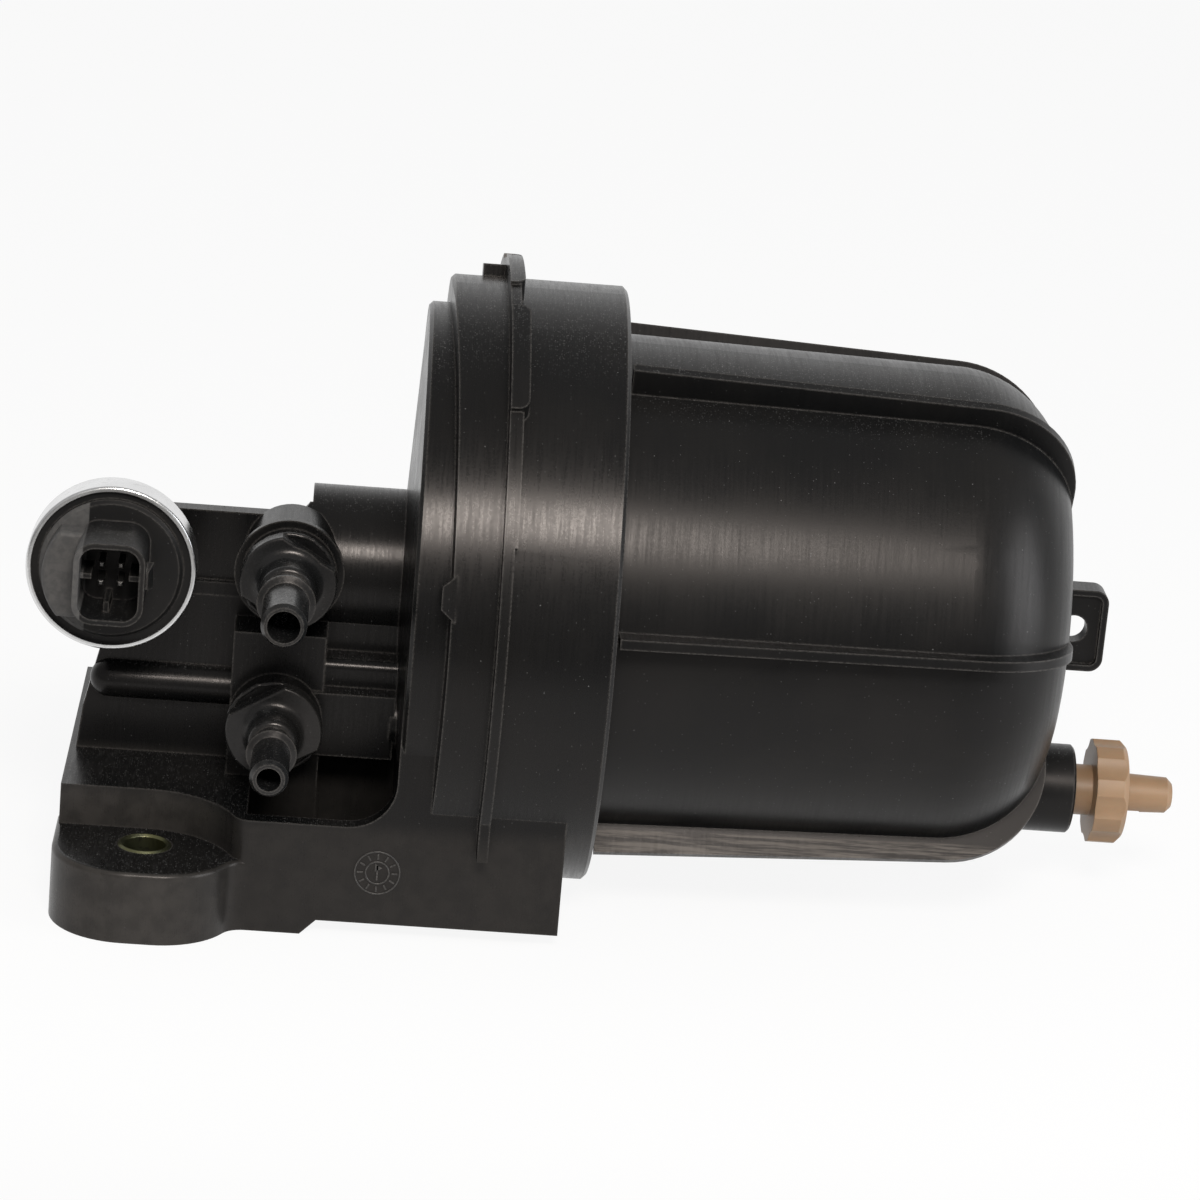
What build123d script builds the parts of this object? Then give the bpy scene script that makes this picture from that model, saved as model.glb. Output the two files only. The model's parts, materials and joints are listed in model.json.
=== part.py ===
"""Diesel fuel filter housing: a moulded head with two hose ports and a crimped sensor, and a ribbed bowl.

The bowl screws into the head's collar.

Millimetres, +Z up. The origin lies midway between the two mounting holes, on the mounting face.
+X runs along the filter, from the ports towards the water drain. -Y is the side that the ports point to.
"""
from build123d import *
from math import asin, cos, degrees, hypot, pi, radians, sin, sqrt, tan
import os

os.makedirs("parts", exist_ok=True)

# Mounting: two ears with steel bushes, one each side of the filter's axis.
axis_height = 65.0
ear_spacing = 95.4
ear_corner_radius = 16.2
ear_half_flat = 3.0
ear_reach = 65.0
ear_edge_round = 1.2
ear_height = 15.6
ear_blend_radius = 5.0
bush_length = 16.0
bush_outer_radius = 5.7
bush_hole_radius = 4.5
bush_chamfer = 0.5
relief_radius = 19.5
relief_wall = 38.5
relief_corner_radius = 4.0

# The head's base block, its port recess and the cored cells below it.
base_left = -18.6
block_half_width = 53.3
block_right = 87.6
block_left = 51.8
foot_step = 3.3
foot_right = 33.5
shelf_height = 24.5
recess_corner_radius = 10.0
recess_left = 21.0
recess_wall = 4.0
recess_floor = 6.0
recess_rib = 3.0
core_wall = 4.0
core_rib = 3.0
core_roof = 4.0
core_columns = 2
core_rows = 5

# The collar that the bowl screws into, and the disc that closes it.
collar_left = 56.3
collar_right = 94.0
collar_radius = 64.5
collar_bore_radius = 59.5
collar_mouth_chamfer = 0.8
collar_floor = 60.0
disc_radius = 58.3
disc_left = 52.0
cone_left = 50.1
cone_tip_radius = 17.2
edge_round = 0.8

# The thin flange round the collar, with its thicker lobes, a stop block and a keying tab.
flange_left = 68.0
flange_thickness = 2.3
flange_radius = 68.8
flange_end_height = 29.0
flange_tail_low = 21.0
flange_tail_reach = 4.6
flange_turn_deg = 1.2
mid_lobe_thickness = 2.9
mid_lobe_start_deg = 22.0
lobe_thickness = 4.0
lobe_round = 2.4
lobe_radius = 70.0
lobe_start_deg = 46.5
lobe_end_deg = 71.0
top_lobe_radius = 69.6
top_lobe_thickness = 3.2
top_lobe_start_deg = 80.0
top_lobe_end_deg = 100.0
stop_deg = 104.0
stop_left = 63.0
stop_width = 7.0
stop_radius = 67.2
ramp_turn_deg = 3.2
tab_deg = 12.4
tab_inset = 1.4
tab_width = 4.8
tab_slope = 2.6

# The wall behind the ports and the pipes moulded on it.
wall_front = 15.0
wall_thickness = 4.0
wall_step_height = 63.0
wall_step_bevel = 2.2
wall_top_rise = 13.4
wall_foot_left = -17.2
wall_knee_left = -16.2
wall_knee_height = 34.0
wall_top_left = -6.0
wall_top_blend = 4.5
hub_left = 30.0
hub_cavity_left = 33.0
gallery_radius = 8.5
gallery_rise = 1.5
gallery_left = -19.0
gallery_bore_radius = 4.0
bead_radius = 4.2
bead_height = 40.8
bead_left = -10.8
rail_front = 22.0
rail_top = 50.4
rail_round = 2.0
duct_front = 27.0
duct_low = 30.5
duct_high = 44.5
duct_right = 50.5
duct_bore_radius = 4.0
duct_neck_wall = 2.6
column_front = 26.0
column_top = 56.6
gusset_thickness = 3.0
gusset_reach = 24.0
gusset_count = 3

# The two quick-connect ports, welded on flanged bosses.
supply_x = 26.2
return_x = 25.2
supply_rise = 6.0
return_height = 38.0
port_boss_radius = 9.8
port_flange_radius = 11.6
port_flange_thickness = 1.5
port_flange_front = 28.3
port_key_thickness = 3.6
port_key_radius = 10.2
port_key_flats = 15.6
port_key_turn_deg = 30.0
port_key_front = 36.0
port_key_round = 0.5
port_neck_wall = 1.2
port_neck_round = 2.2
port_neck_length = 7.5
port_length = 29.0
port_bead_width = 1.8
port_tip_length = 15.0
port_tip_chamfer = 0.7
port_tip_chamfer_length = 1.2
port_spigot_length = 8.0
port_spigot_radius = 6.4
spigot_gap = 0.2
supply_tube_radius = 4.75
supply_bead_radius = 6.1
supply_bore_radius = 3.4
return_tube_radius = 4.0
return_bead_radius = 5.3
return_bore_radius = 2.5
fit_clearance = 0.05

# The sensor: an aluminium cup crimped over a moulded plug housing and a threaded base.
sensor_x = -10.8
sensor_rise = 6.0
sensor_boss_radius = 11.0
sensor_boss_front = 27.2
sensor_shank_radius = 7.0
sensor_shank_length = 10.0
sensor_passage_radius = 1.6
sensor_neck_radius = 6.0
sensor_base_thickness = 3.2
sensor_disc_thickness = 2.6
sensor_groove_radius = 8.6
sensor_groove_width = 1.6
sensor_groove_depth = 0.8
sensor_chamber_radius = 9.2
sensor_chamber_depth = 1.8
cell_radius = 9.0
cell_thickness = 1.2
cell_seal_radius = 6.8
cell_seal_width = 1.5
board_radius = 8.8
board_thickness = 1.0
board_gap = 0.8
crimp_radius = 17.8
crimp_wall = 0.8
crimp_lip = 1.0
crimp_lip_reach = 0.3
crimp_round = 0.6
sensor_step_radius = 15.0
sensor_step_height = 1.6
sensor_step_bevel = 0.8
sensor_pad_radius = 14.0
sensor_pad_chord = 9.0
sensor_pad_half_height = 9.2
sensor_pad_rise = 7.5
sensor_pad_round = 1.0
socket_shift_x = 0.5
socket_shift_up = 1.8
socket_width = 14.7
socket_height = 17.6
socket_corner_radius = 4.4
socket_wall = 1.2
socket_reach = 18.0
socket_depth = 14.5
socket_key_reach = 2.2
socket_key_width = 1.2
socket_key_length = 9.0
latch_width = 5.6
latch_proud = 1.4
latch_length = 9.0
terminal_size = 1.2
terminal_pitch = 4.0
terminal_reach = 7.0

# The screw-in bowl.
bowl_neck_left = 61.0
bowl_thread_left = 69.0
bowl_thread_right = 92.0
bowl_thread_radius = 59.2
bowl_neck_bore_radius = 53.0
bowl_root_radius = 54.4
bowl_taper_deg = 1.4
bowl_end = 192.5
bowl_crown = 2.0
bowl_shoulder_radius = 25.0
bowl_wall = 3.0
rib_count = 6
rib_first_deg = 5.5
rib_thickness = 2.2
rib_height = 6.4
rib_taper_deg = 2.6
rib_shoulder_radius = 22.0
rib_end_inset = 0.85
rib_gap = 0.8
neck_groove_left = 63.2
neck_groove_width = 3.6
neck_groove_depth = 2.7
neck_land_radius = 59.0
seal_gap = 0.12
lug_right = 204.2
lug_low = 53.5
lug_high = 72.0
lug_web = 4.0
lug_flange = 6.4
lug_flange_thickness = 1.4
lug_corner_radius = 3.0
lug_hole_radius = 3.0
lug_hole_x = 197.2
pilot_wall = 2.0
pilot_depth = 5.0

# The water drain, a hollow hand screw low on the bowl's end.
drain_drop = 40.0
drain_boss_radius = 9.8
drain_boss_left = 166.0
drain_boss_right = 201.0
drain_sleeve_left = 178.0
drain_sleeve_radius = 7.6
drain_seat_radius = 4.3
drain_seat_end = 187.0
drain_seat_gap = 0.1
drain_stem_radius = 5.6
drain_stem_clearance = 0.15
drain_tip_radius = 4.1
drain_tip_left = 179.5
drain_bore_radius = 1.9
drain_bore_left = 184.4
drain_knob_gap = 4.4
drain_knob_thickness = 7.2
drain_knob_radius = 11.4
drain_knob_chamfer = 1.2
drain_flutes = 8
drain_flute_radius = 7.0
drain_flute_depth = 0.8
drain_nozzle_radius = 4.3
drain_nozzle_length = 11.0
drain_nozzle_taper = 0.35
drain_nozzle_round = 1.2
drain_notch_left = 213.6
drain_notch_length = 3.4
drain_notch_depth = 1.0
drain_groove_left = 181.5
drain_groove_width = 2.0
drain_groove_depth = 1.3
drain_cross_hole_x = 185.6
drain_cross_hole_radius = 1.0

# The filter element.
standpipe_radius = 9.0
standpipe_bore_radius = 6.0
standpipe_right = 74.0
cap_radius = 42.0
cap_thickness = 3.5
top_cap_left = 68.0
cap_rim = 3.0
cap_rim_wall = 1.2
top_cap_neck_radius = 13.5
top_cap_neck_length = 4.0
element_seal_radius = 11.0
element_seal_flange = 12.8
element_seal_flange_thickness = 1.2
media_outer_radius = 40.4
media_inner_radius = 18.6
media_thickness = 0.7
pleat_count = 40
pleat_fill = 0.5
core_outer_radius = 17.0
core_tube_wall = 1.5
core_slot_rows = 7
core_slot_columns = 3
core_slot_width = 6.0
core_slot_length = 9.0
screen_outer_radius = 17.8
screen_wall = 0.6
bottom_cap_left = 169.0
peg_radius = 6.0
end_play = 0.2

# Values worked out from those above. A rise is a height above the filter's axis.
wall_top = axis_height + wall_top_rise
gallery_height = axis_height + gallery_rise
supply_height = axis_height + supply_rise
sensor_height = axis_height + sensor_rise
sensor_plate_radius = crimp_radius - crimp_wall
socket_x = sensor_x + socket_shift_x
socket_middle = sensor_height + socket_shift_up
hole_y = ear_spacing / 2
ear_left = -ear_half_flat - ear_corner_radius
sensor_base_front = sensor_boss_front + sensor_base_thickness
sensor_disc_front = sensor_base_front + sensor_disc_thickness
crimp_front = sensor_disc_front + crimp_lip
crimp_back = sensor_boss_front - crimp_lip
drain_height = axis_height - drain_drop
knob_left = drain_boss_right + drain_knob_gap
knob_right = knob_left + drain_knob_thickness
nozzle_right = knob_right + drain_nozzle_length
upper_wall_front = wall_front - wall_thickness
cap_right = top_cap_left + cap_thickness
inner_end = bowl_end - bowl_crown - bowl_wall
filter_axis = Axis((0, 0, axis_height), (1, 0, 0))
drain_axis = Axis((0, 0, drain_height), (1, 0, 0))


def across(x, height=axis_height):
    """A plane square to the filter's axis, facing the drain, with local x along +Y and local y along +Z."""
    return Plane(origin=(x, 0, height), x_dir=(0, 1, 0), z_dir=(1, 0, 0))


def facing(front):
    """A plane facing the ports' side, front mm before the axis, with local x along +X and y along +Z."""
    return Plane(origin=(0, -front, 0), x_dir=(1, 0, 0), z_dir=(0, -1, 0))


def along(height=axis_height, up_deg=90.0):
    """The plane through the axis at that height whose local y points up_deg above the ports' side."""
    up = radians(up_deg)
    return Plane(origin=(0, 0, height), x_dir=(1, 0, 0), z_dir=(0, -sin(up), -cos(up)))


def bowl_radius(x):
    """Outer radius of the bowl's tapered barrel at x."""
    return bowl_root_radius - (x - bowl_thread_right) * tan(radians(bowl_taper_deg))


def asin_deg(ratio):
    """The angle in degrees whose sine is ratio."""
    return degrees(asin(ratio))


def sector(inner, outer, start_deg, end_deg):
    """A ring sector in a sketch on an across() plane, its angles measured up from the ports' side."""
    def spot(radius, angle):
        return (-radius * cos(radians(angle)), radius * sin(radians(angle)))
    middle = (start_deg + end_deg) / 2
    with BuildLine() as outline:
        ThreePointArc(spot(outer, start_deg), spot(outer, middle), spot(outer, end_deg))
        Line(spot(outer, end_deg), spot(inner, end_deg))
        ThreePointArc(spot(inner, end_deg), spot(inner, middle), spot(inner, start_deg))
        Line(spot(inner, start_deg), spot(outer, start_deg))
    make_face(outline.edges())


def bowl_half(left, grow, crown=0.0):
    """Half of the bowl's lengthwise outline right of left, with every surface moved out by grow."""
    corner_x = bowl_end - bowl_crown + grow
    corner_radius = bowl_radius(corner_x) + grow
    with BuildLine() as outline:
        Polyline((left, 0), (left, bowl_radius(left) + grow), (corner_x, corner_radius))
        if crown > 0:
            ThreePointArc(
                (corner_x, corner_radius),
                (corner_x + 0.75 * crown, corner_radius / 2),
                (corner_x + crown, 0),
            )
        else:
            Line((corner_x, corner_radius), (corner_x, 0))
        Line((corner_x + crown, 0), (left, 0))
        shoulder = outline.vertices().sort_by_distance((corner_x, corner_radius, 0))[0]
        fillet(shoulder, bowl_shoulder_radius + grow)
    make_face(outline.edges())


def rounded_ring(middle_radius, section_radius, x, height=axis_height):
    """An O-ring of circular section round the axis at that height, with its middle at x."""
    with BuildPart(mode=Mode.PRIVATE) as ring:
        with BuildSketch(along(height)):
            with Locations((x, middle_radius)):
                Circle(section_radius)
        revolve(axis=Axis((0, 0, height), (1, 0, 0)))
    return ring.part


# Filter head: one moulding. First the block with its ears.
with BuildPart() as filter_head:
    with BuildSketch(facing(-block_half_width)) as block_side:
        with BuildLine():
            Polyline(
                (base_left, 0),
                (foot_right, 0),
                (foot_right + foot_step, foot_step),
                (block_right, foot_step),
                (block_right, axis_height),
                (block_left, axis_height),
                (block_left, shelf_height),
                (base_left, shelf_height),
                close=True,
            )
        make_face()
    extrude(amount=2 * block_half_width)

    # Round reliefs above the ears. Their front corners run out in a curve.
    relief_y = relief_wall + relief_radius
    relief_x = sqrt(relief_radius**2 - (relief_y - block_half_width) ** 2)
    for side in (-1, 1):
        with BuildSketch(Plane.XY, mode=Mode.PRIVATE) as kept:
            with Locations(((base_left + foot_right) / 2, side * block_half_width / 2)):
                Rectangle(foot_right - base_left, block_half_width)
            with Locations((0, side * relief_y)):
                Circle(relief_radius, mode=Mode.SUBTRACT)
            with Locations((base_left, side * relief_y)):
                Rectangle(-2 * base_left, 2 * relief_radius, mode=Mode.SUBTRACT)
            corner = kept.vertices().sort_by_distance((relief_x, side * block_half_width, 0))[0]
            fillet(corner, relief_corner_radius)
        with BuildSketch(Plane.XY):
            with Locations(((base_left + foot_right) / 2, side * (block_half_width + 1) / 2)):
                Rectangle(foot_right - base_left, block_half_width + 1)
            add(kept.sketch, mode=Mode.SUBTRACT)
        extrude(amount=shelf_height, mode=Mode.SUBTRACT)

    # The ears, with a curve into the block's side and a rounded upper edge.
    corner_y = ear_reach - ear_corner_radius
    meet_x = ear_half_flat + sqrt(ear_corner_radius**2 - (block_half_width - corner_y) ** 2)
    for side in (-1, 1):
        with BuildPart(mode=Mode.PRIVATE) as ear:
            with BuildSketch(Plane.XY) as ear_outline:
                with Locations((0, side * corner_y)):
                    SlotCenterToCenter(2 * ear_half_flat, 2 * ear_corner_radius)
                with Locations((ear_left / 2, side * (corner_y - ear_corner_radius / 2))):
                    Rectangle(-ear_left, ear_corner_radius)
                with Locations((foot_right / 2, side * (block_half_width - ear_corner_radius / 2))):
                    Rectangle(foot_right - 1, ear_corner_radius)
                corner = ear_outline.vertices().sort_by_distance((meet_x, side * block_half_width, 0))[0]
                fillet(corner, ear_blend_radius)
            extrude(amount=ear_height)
            fillet(ear.faces().sort_by(Axis.Z)[-1].edges().filter_by(GeomType.CIRCLE), ear_edge_round)
        add(ear.part)

    # Open cells below, which leave walls of one thickness: left of the recess and under the collar.
    left_span = recess_left - core_rib - (base_left + core_wall)
    right_span = block_right - block_left - 2 * core_wall
    inner_width = 2 * (relief_wall - core_wall)
    for span, first, height, width in (
        (left_span, base_left + core_wall, shelf_height - core_roof, inner_width),
        (right_span, block_left + core_wall, axis_height, 2 * (block_half_width - core_wall)),
    ):
        cell_x = (span - (core_columns - 1) * core_rib) / core_columns
        cell_y = (width - (core_rows - 1) * core_rib) / core_rows
        with BuildSketch(Plane.XY):
            with Locations((first + span / 2, 0)):
                with GridLocations(cell_x + core_rib, cell_y + core_rib, core_columns, core_rows):
                    Rectangle(cell_x, cell_y)
        extrude(amount=height, mode=Mode.SUBTRACT)

    # The deep recess on both sides of the wall.
    recess_span = block_left - recess_left
    for start, end in (
        (-block_half_width + recess_wall, -wall_front),
        (-wall_front + wall_thickness, block_half_width / 2 - wall_front),
        (block_half_width / 2 - wall_front + recess_rib, block_half_width - recess_wall),
    ):
        with BuildSketch(Plane.XY.offset(recess_floor)):
            with Locations((recess_left + recess_span / 2, (start + end) / 2)):
                Rectangle(recess_span, end - start)
        extrude(amount=shelf_height, mode=Mode.SUBTRACT)

    # The collar. Its left edge slopes back to the right towards the front.
    with BuildPart(mode=Mode.PRIVATE) as collar:
        with BuildSketch(along()):
            with BuildLine():
                Polyline(
                    (collar_left, 0),
                    (collar_left, collar_radius - edge_round),
                    (collar_left + edge_round, collar_radius),
                    (collar_right - edge_round, collar_radius),
                    (collar_right, collar_radius - edge_round),
                    (collar_right, 0),
                    close=True,
                )
            make_face()
        revolve(axis=filter_axis)
        with BuildSketch(Plane.XY.offset(-1)):
            with BuildLine():
                Polyline(
                    (collar_left - 2, 0),
                    (collar_left, 0),
                    (collar_left + 1.1 * collar_radius * tan(radians(ramp_turn_deg)), -1.1 * collar_radius),
                    (collar_left - 2, -1.1 * collar_radius),
                    close=True,
                )
            make_face()
        extrude(amount=2 * (axis_height + 1), mode=Mode.SUBTRACT)
    add(collar.part)

    # The closing disc with its shallow cone.
    with BuildSketch(along()):
        with BuildLine():
            Polyline(
                (cone_left, 0),
                (cone_left, cone_tip_radius),
                (disc_left, disc_radius - edge_round),
                (disc_left + edge_round, disc_radius),
                (collar_floor + 1, disc_radius),
                (collar_floor + 1, 0),
                close=True,
            )
        make_face()
    revolve(axis=filter_axis)

    # The bore with its mouth chamfer. The standpipe comes after it, so that it stays.
    with BuildSketch(along()):
        with BuildLine():
            Polyline(
                (collar_floor, 0),
                (collar_floor, collar_bore_radius),
                (collar_right - collar_mouth_chamfer, collar_bore_radius),
                (collar_right + 0.2, collar_bore_radius + collar_mouth_chamfer + 0.2),
                (collar_right + 0.2, 0),
                close=True,
            )
        make_face()
    revolve(axis=filter_axis, mode=Mode.SUBTRACT)
    with BuildSketch(across(collar_floor - 1)):
        Circle(standpipe_radius)
    extrude(amount=standpipe_right - collar_floor + 1)

    # The block's upright left of the collar, with the rounded corner above the front sill.
    for side in (-1, 1):
        with BuildSketch(facing(side * block_half_width)) as upright:
            with BuildLine():
                Polyline(
                    (block_left - recess_corner_radius, shelf_height),
                    (block_left - recess_corner_radius, foot_step),
                    (block_left + core_wall, foot_step),
                    (block_left + core_wall, axis_height - 8),
                    (block_left, axis_height - 8),
                    (block_left, shelf_height + recess_corner_radius),
                )
                RadiusArc(
                    (block_left, shelf_height + recess_corner_radius),
                    (block_left - recess_corner_radius, shelf_height),
                    recess_corner_radius,
                )
            make_face()
        extrude(amount=-side * recess_wall)

    # The thin flange round the collar, open at the bottom, with its thicker lobes.
    # It leans to the right at the front.
    flange_turn = radians(flange_turn_deg)
    flange_plane = Plane(
        origin=(flange_left, 0, axis_height),
        x_dir=(-sin(flange_turn), cos(flange_turn), 0),
        z_dir=(cos(flange_turn), sin(flange_turn), 0),
    )
    end_deg = asin_deg((axis_height - flange_end_height) / flange_radius)
    for outer, thickness, start_deg, stop_at_deg in (
        (flange_radius, flange_thickness, -end_deg, 180 + end_deg),
        (flange_radius, mid_lobe_thickness, mid_lobe_start_deg, lobe_start_deg),
        (lobe_radius, lobe_thickness, lobe_start_deg, lobe_end_deg),
        (lobe_radius, lobe_thickness, 180 - lobe_end_deg, 180 - lobe_start_deg),
        (top_lobe_radius, top_lobe_thickness, top_lobe_start_deg, top_lobe_end_deg),
    ):
        with BuildPart(mode=Mode.PRIVATE) as lobe:
            with BuildSketch(flange_plane):
                sector(collar_radius - edge_round, outer, start_deg, stop_at_deg)
            extrude(amount=thickness)
            if thickness > mid_lobe_thickness:
                fillet(lobe.edges().filter_by(GeomType.LINE).sort_by(Axis.X)[-2:], lobe_round)
        add(lobe.part)
    # Its straight tail on the block's front.
    with BuildSketch(flange_plane):
        with Locations((-block_half_width - flange_tail_reach / 2,
                        (flange_tail_low + flange_end_height) / 2 - axis_height)):
            Rectangle(flange_tail_reach + 1, flange_end_height - flange_tail_low + 1)
    extrude(amount=flange_thickness)
    half_stop_deg = asin_deg(stop_width / 2 / stop_radius)
    with BuildSketch(across(stop_left)):
        sector(collar_radius - edge_round, stop_radius, stop_deg - half_stop_deg, stop_deg + half_stop_deg)
    extrude(amount=flange_left - stop_left)

    # The keying tab on the collar's left edge.
    tab_turn = radians(tab_deg)
    tab_plane = Plane(
        origin=(collar_left, -collar_radius * cos(tab_turn), axis_height + collar_radius * sin(tab_turn)),
        x_dir=(1, 0, 0),
        z_dir=(0, -cos(tab_turn), sin(tab_turn)),
    )
    tab_root = collar_radius * tan(radians(ramp_turn_deg)) + edge_round
    with BuildSketch(tab_plane):
        with BuildLine():
            Polyline(
                (tab_root, -tab_width / 2 - tab_slope),
                (tab_inset, -tab_width / 2),
                (tab_inset, tab_width / 2),
                (tab_root, tab_width / 2 + tab_slope),
                close=True,
            )
        make_face()
    extrude(amount=-(collar_radius - collar_bore_radius) + 1)

    # The wall behind the ports, thinner above its step, and the ledge that joins the two halves.
    slope = (wall_top_left - wall_knee_left) / (wall_top - wall_knee_height)
    step_left = wall_knee_left + slope * (wall_step_height - wall_knee_height)
    with BuildSketch(facing(wall_front)):
        with BuildLine():
            Polyline(
                (wall_foot_left, recess_floor),
                (wall_foot_left, shelf_height),
                (wall_knee_left, wall_knee_height),
                (step_left, wall_step_height),
                (disc_left + 1, wall_step_height),
                (disc_left + 1, recess_floor),
                close=True,
            )
        make_face()
    extrude(amount=-wall_thickness)
    with BuildSketch(facing(upper_wall_front)):
        with BuildLine():
            Polyline(
                (step_left, wall_step_height - wall_thickness),
                (step_left, wall_step_height),
                (wall_top_left, wall_top),
                (hub_left, wall_top),
                (hub_left, wall_step_height - wall_thickness),
                close=True,
            )
        make_face()
    extrude(amount=-wall_thickness)
    # Its top curves up to the hub's end, within the hub's round outline.
    with BuildPart(mode=Mode.PRIVATE) as wall_curve:
        depth = wall_top_blend * (1 - sqrt(0.5))
        with BuildSketch(facing(upper_wall_front)):
            with BuildLine():
                Polyline(
                    (hub_left, wall_top + wall_top_blend),
                    (hub_left, wall_top - 1),
                    (hub_left - wall_top_blend, wall_top - 1),
                    (hub_left - wall_top_blend, wall_top),
                )
                ThreePointArc(
                    (hub_left - wall_top_blend, wall_top),
                    (hub_left - depth, wall_top + depth),
                    (hub_left, wall_top + wall_top_blend),
                )
            make_face()
        extrude(amount=-wall_thickness)
        with BuildSketch(across(hub_left - wall_top_blend)):
            Circle(cone_tip_radius)
        extrude(amount=wall_top_blend, mode=Mode.INTERSECT)
    add(wall_curve.part)

    with BuildSketch(Plane.YZ.offset(-hub_left)):
        with BuildLine():
            Polyline(
                (-wall_front - 1, wall_step_height - wall_step_bevel - 1),
                (-wall_front + wall_step_bevel + 1, wall_step_height + 1),
                (-wall_front - 1, wall_step_height + 1),
                close=True,
            )
        make_face()
    extrude(amount=hub_left + cone_left, mode=Mode.SUBTRACT)

    # The hub on the filter's axis, the gallery that crosses to the sensor, and the sensor's boss.
    with BuildSketch(across(hub_left)):
        Circle(cone_tip_radius)
    extrude(amount=disc_left - hub_left + 1)
    with BuildSketch(across(gallery_left, gallery_height)):
        Circle(gallery_radius)
    extrude(amount=hub_left - gallery_left + 1)
    with BuildSketch(facing(sensor_boss_front)):
        with Locations((sensor_x, sensor_height)):
            Circle(sensor_boss_radius)
    extrude(amount=-(sensor_boss_front - upper_wall_front) - 1)
    with BuildSketch(facing(upper_wall_front)):
        with Locations((sensor_x, sensor_height)):
            Circle(sensor_neck_radius)
    extrude(amount=-upper_wall_front)

    # Pipes on the wall: the long bead, the short ledge, the box duct and the column behind the lower port.
    with BuildSketch(across(bead_left, bead_height)):
        with Locations((-wall_front, 0)):
            Circle(bead_radius)
    extrude(amount=return_x - bead_left)
    with Locations((bead_left, -wall_front, bead_height)):
        Sphere(bead_radius)
    with BuildSketch(across(return_x, 0)) as rail:
        with Locations((-(rail_front + wall_front - 1) / 2, (duct_high + rail_top) / 2 - 1)):
            Rectangle(rail_front - wall_front + 1, rail_top - duct_high + 2)
        fillet(rail.vertices().sort_by_distance((-rail_front, rail_top, 0))[0], rail_round)
    extrude(amount=disc_left - return_x + 1)
    with BuildSketch(facing(duct_front)):
        with Locations(((return_x + duct_right) / 2, (duct_low + duct_high) / 2)):
            Rectangle(duct_right - return_x, duct_high - duct_low)
    extrude(amount=-(duct_front - wall_front + 1))
    with BuildSketch(across(duct_right - 1, (duct_low + duct_high) / 2)):
        with Locations((-(duct_front + wall_front) / 2, 0)):
            Circle(duct_bore_radius + duct_neck_wall)
    extrude(amount=disc_left - duct_right + 2)
    with BuildSketch(facing(column_front)):
        with Locations((return_x, (recess_floor + column_top) / 2)):
            Rectangle(2 * port_boss_radius, column_top - recess_floor)
    extrude(amount=-(column_front - wall_front + 1))

    # A boss for each port. The upper one carries a thin flange.
    key_back = port_key_front - port_key_thickness
    with BuildSketch(facing(key_back)):
        with Locations((supply_x, supply_height), (return_x, return_height)):
            Circle(port_boss_radius)
    extrude(amount=-key_back + upper_wall_front - 1)
    with BuildSketch(facing(port_flange_front)):
        with Locations((supply_x, supply_height)):
            Circle(port_flange_radius)
    extrude(amount=-port_flange_thickness)

    # Stiffening gussets behind the wall.
    for i in range(gusset_count):
        gusset_x = wall_knee_left + (i + 0.5) * (recess_left - wall_knee_left) / gusset_count
        with BuildSketch(Plane.YZ.offset(gusset_x - gusset_thickness / 2)):
            with BuildLine():
                Polyline(
                    (-wall_front + 1, shelf_height - 1),
                    (gusset_reach, shelf_height - 1),
                    (gusset_reach, shelf_height),
                    (-wall_front + wall_thickness, wall_step_height - wall_thickness / 2),
                    (-wall_front + 1, wall_step_height - wall_thickness / 2),
                    close=True,
                )
            make_face()
        extrude(amount=gusset_thickness)

    # Clean fuel's way: the standpipe, the hub, the gallery, the upper port and the sensor's tapping.
    with BuildSketch(across(hub_cavity_left)):
        Circle(standpipe_bore_radius)
    extrude(amount=standpipe_right - hub_cavity_left, mode=Mode.SUBTRACT)
    gallery_start = sensor_x - gallery_bore_radius
    with BuildSketch(across(gallery_start, gallery_height)):
        Circle(gallery_bore_radius)
    extrude(amount=hub_cavity_left + standpipe_bore_radius - gallery_start, mode=Mode.SUBTRACT)
    with BuildSketch(facing(sensor_boss_front)):
        with Locations((sensor_x, sensor_height)):
            Circle(sensor_shank_radius + fit_clearance)
    extrude(amount=-sensor_shank_length - 1, mode=Mode.SUBTRACT)
    with BuildSketch(facing(sensor_boss_front)):
        with Locations((sensor_x, sensor_height)):
            Circle(sensor_passage_radius + 0.6)
    extrude(amount=-sensor_boss_front, mode=Mode.SUBTRACT)
    with BuildSketch(facing(port_key_front)):
        with Locations((supply_x, supply_height)):
            Circle(supply_bore_radius)
    extrude(amount=-port_key_front, mode=Mode.SUBTRACT)

    # Unfiltered fuel's way: the lower port, the column and the duct into the bowl outside the element.
    with BuildSketch(facing(port_key_front)):
        with Locations((return_x, return_height)):
            Circle(return_bore_radius)
    extrude(amount=-(port_key_front - wall_front - 1), mode=Mode.SUBTRACT)
    with BuildSketch(across(return_x - duct_bore_radius, (duct_low + duct_high) / 2)):
        with Locations((-(duct_front + wall_front) / 2, 0)):
            Circle(duct_bore_radius)
    extrude(amount=collar_floor - return_x + duct_bore_radius + 1, mode=Mode.SUBTRACT)

    # Sockets for the ports' spigots and for the bushes.
    with BuildSketch(facing(key_back)):
        with Locations((supply_x, supply_height), (return_x, return_height)):
            Circle(port_spigot_radius + fit_clearance)
    extrude(amount=-port_spigot_length, mode=Mode.SUBTRACT)
    with BuildSketch(Plane.XY):
        with Locations((0, -hole_y), (0, hole_y)):
            Circle(bush_outer_radius)
    extrude(amount=ear_height, mode=Mode.SUBTRACT)
filter_head.part.label = "filter_head"
export_step(filter_head.part, "parts/filter_head.step")

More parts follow.
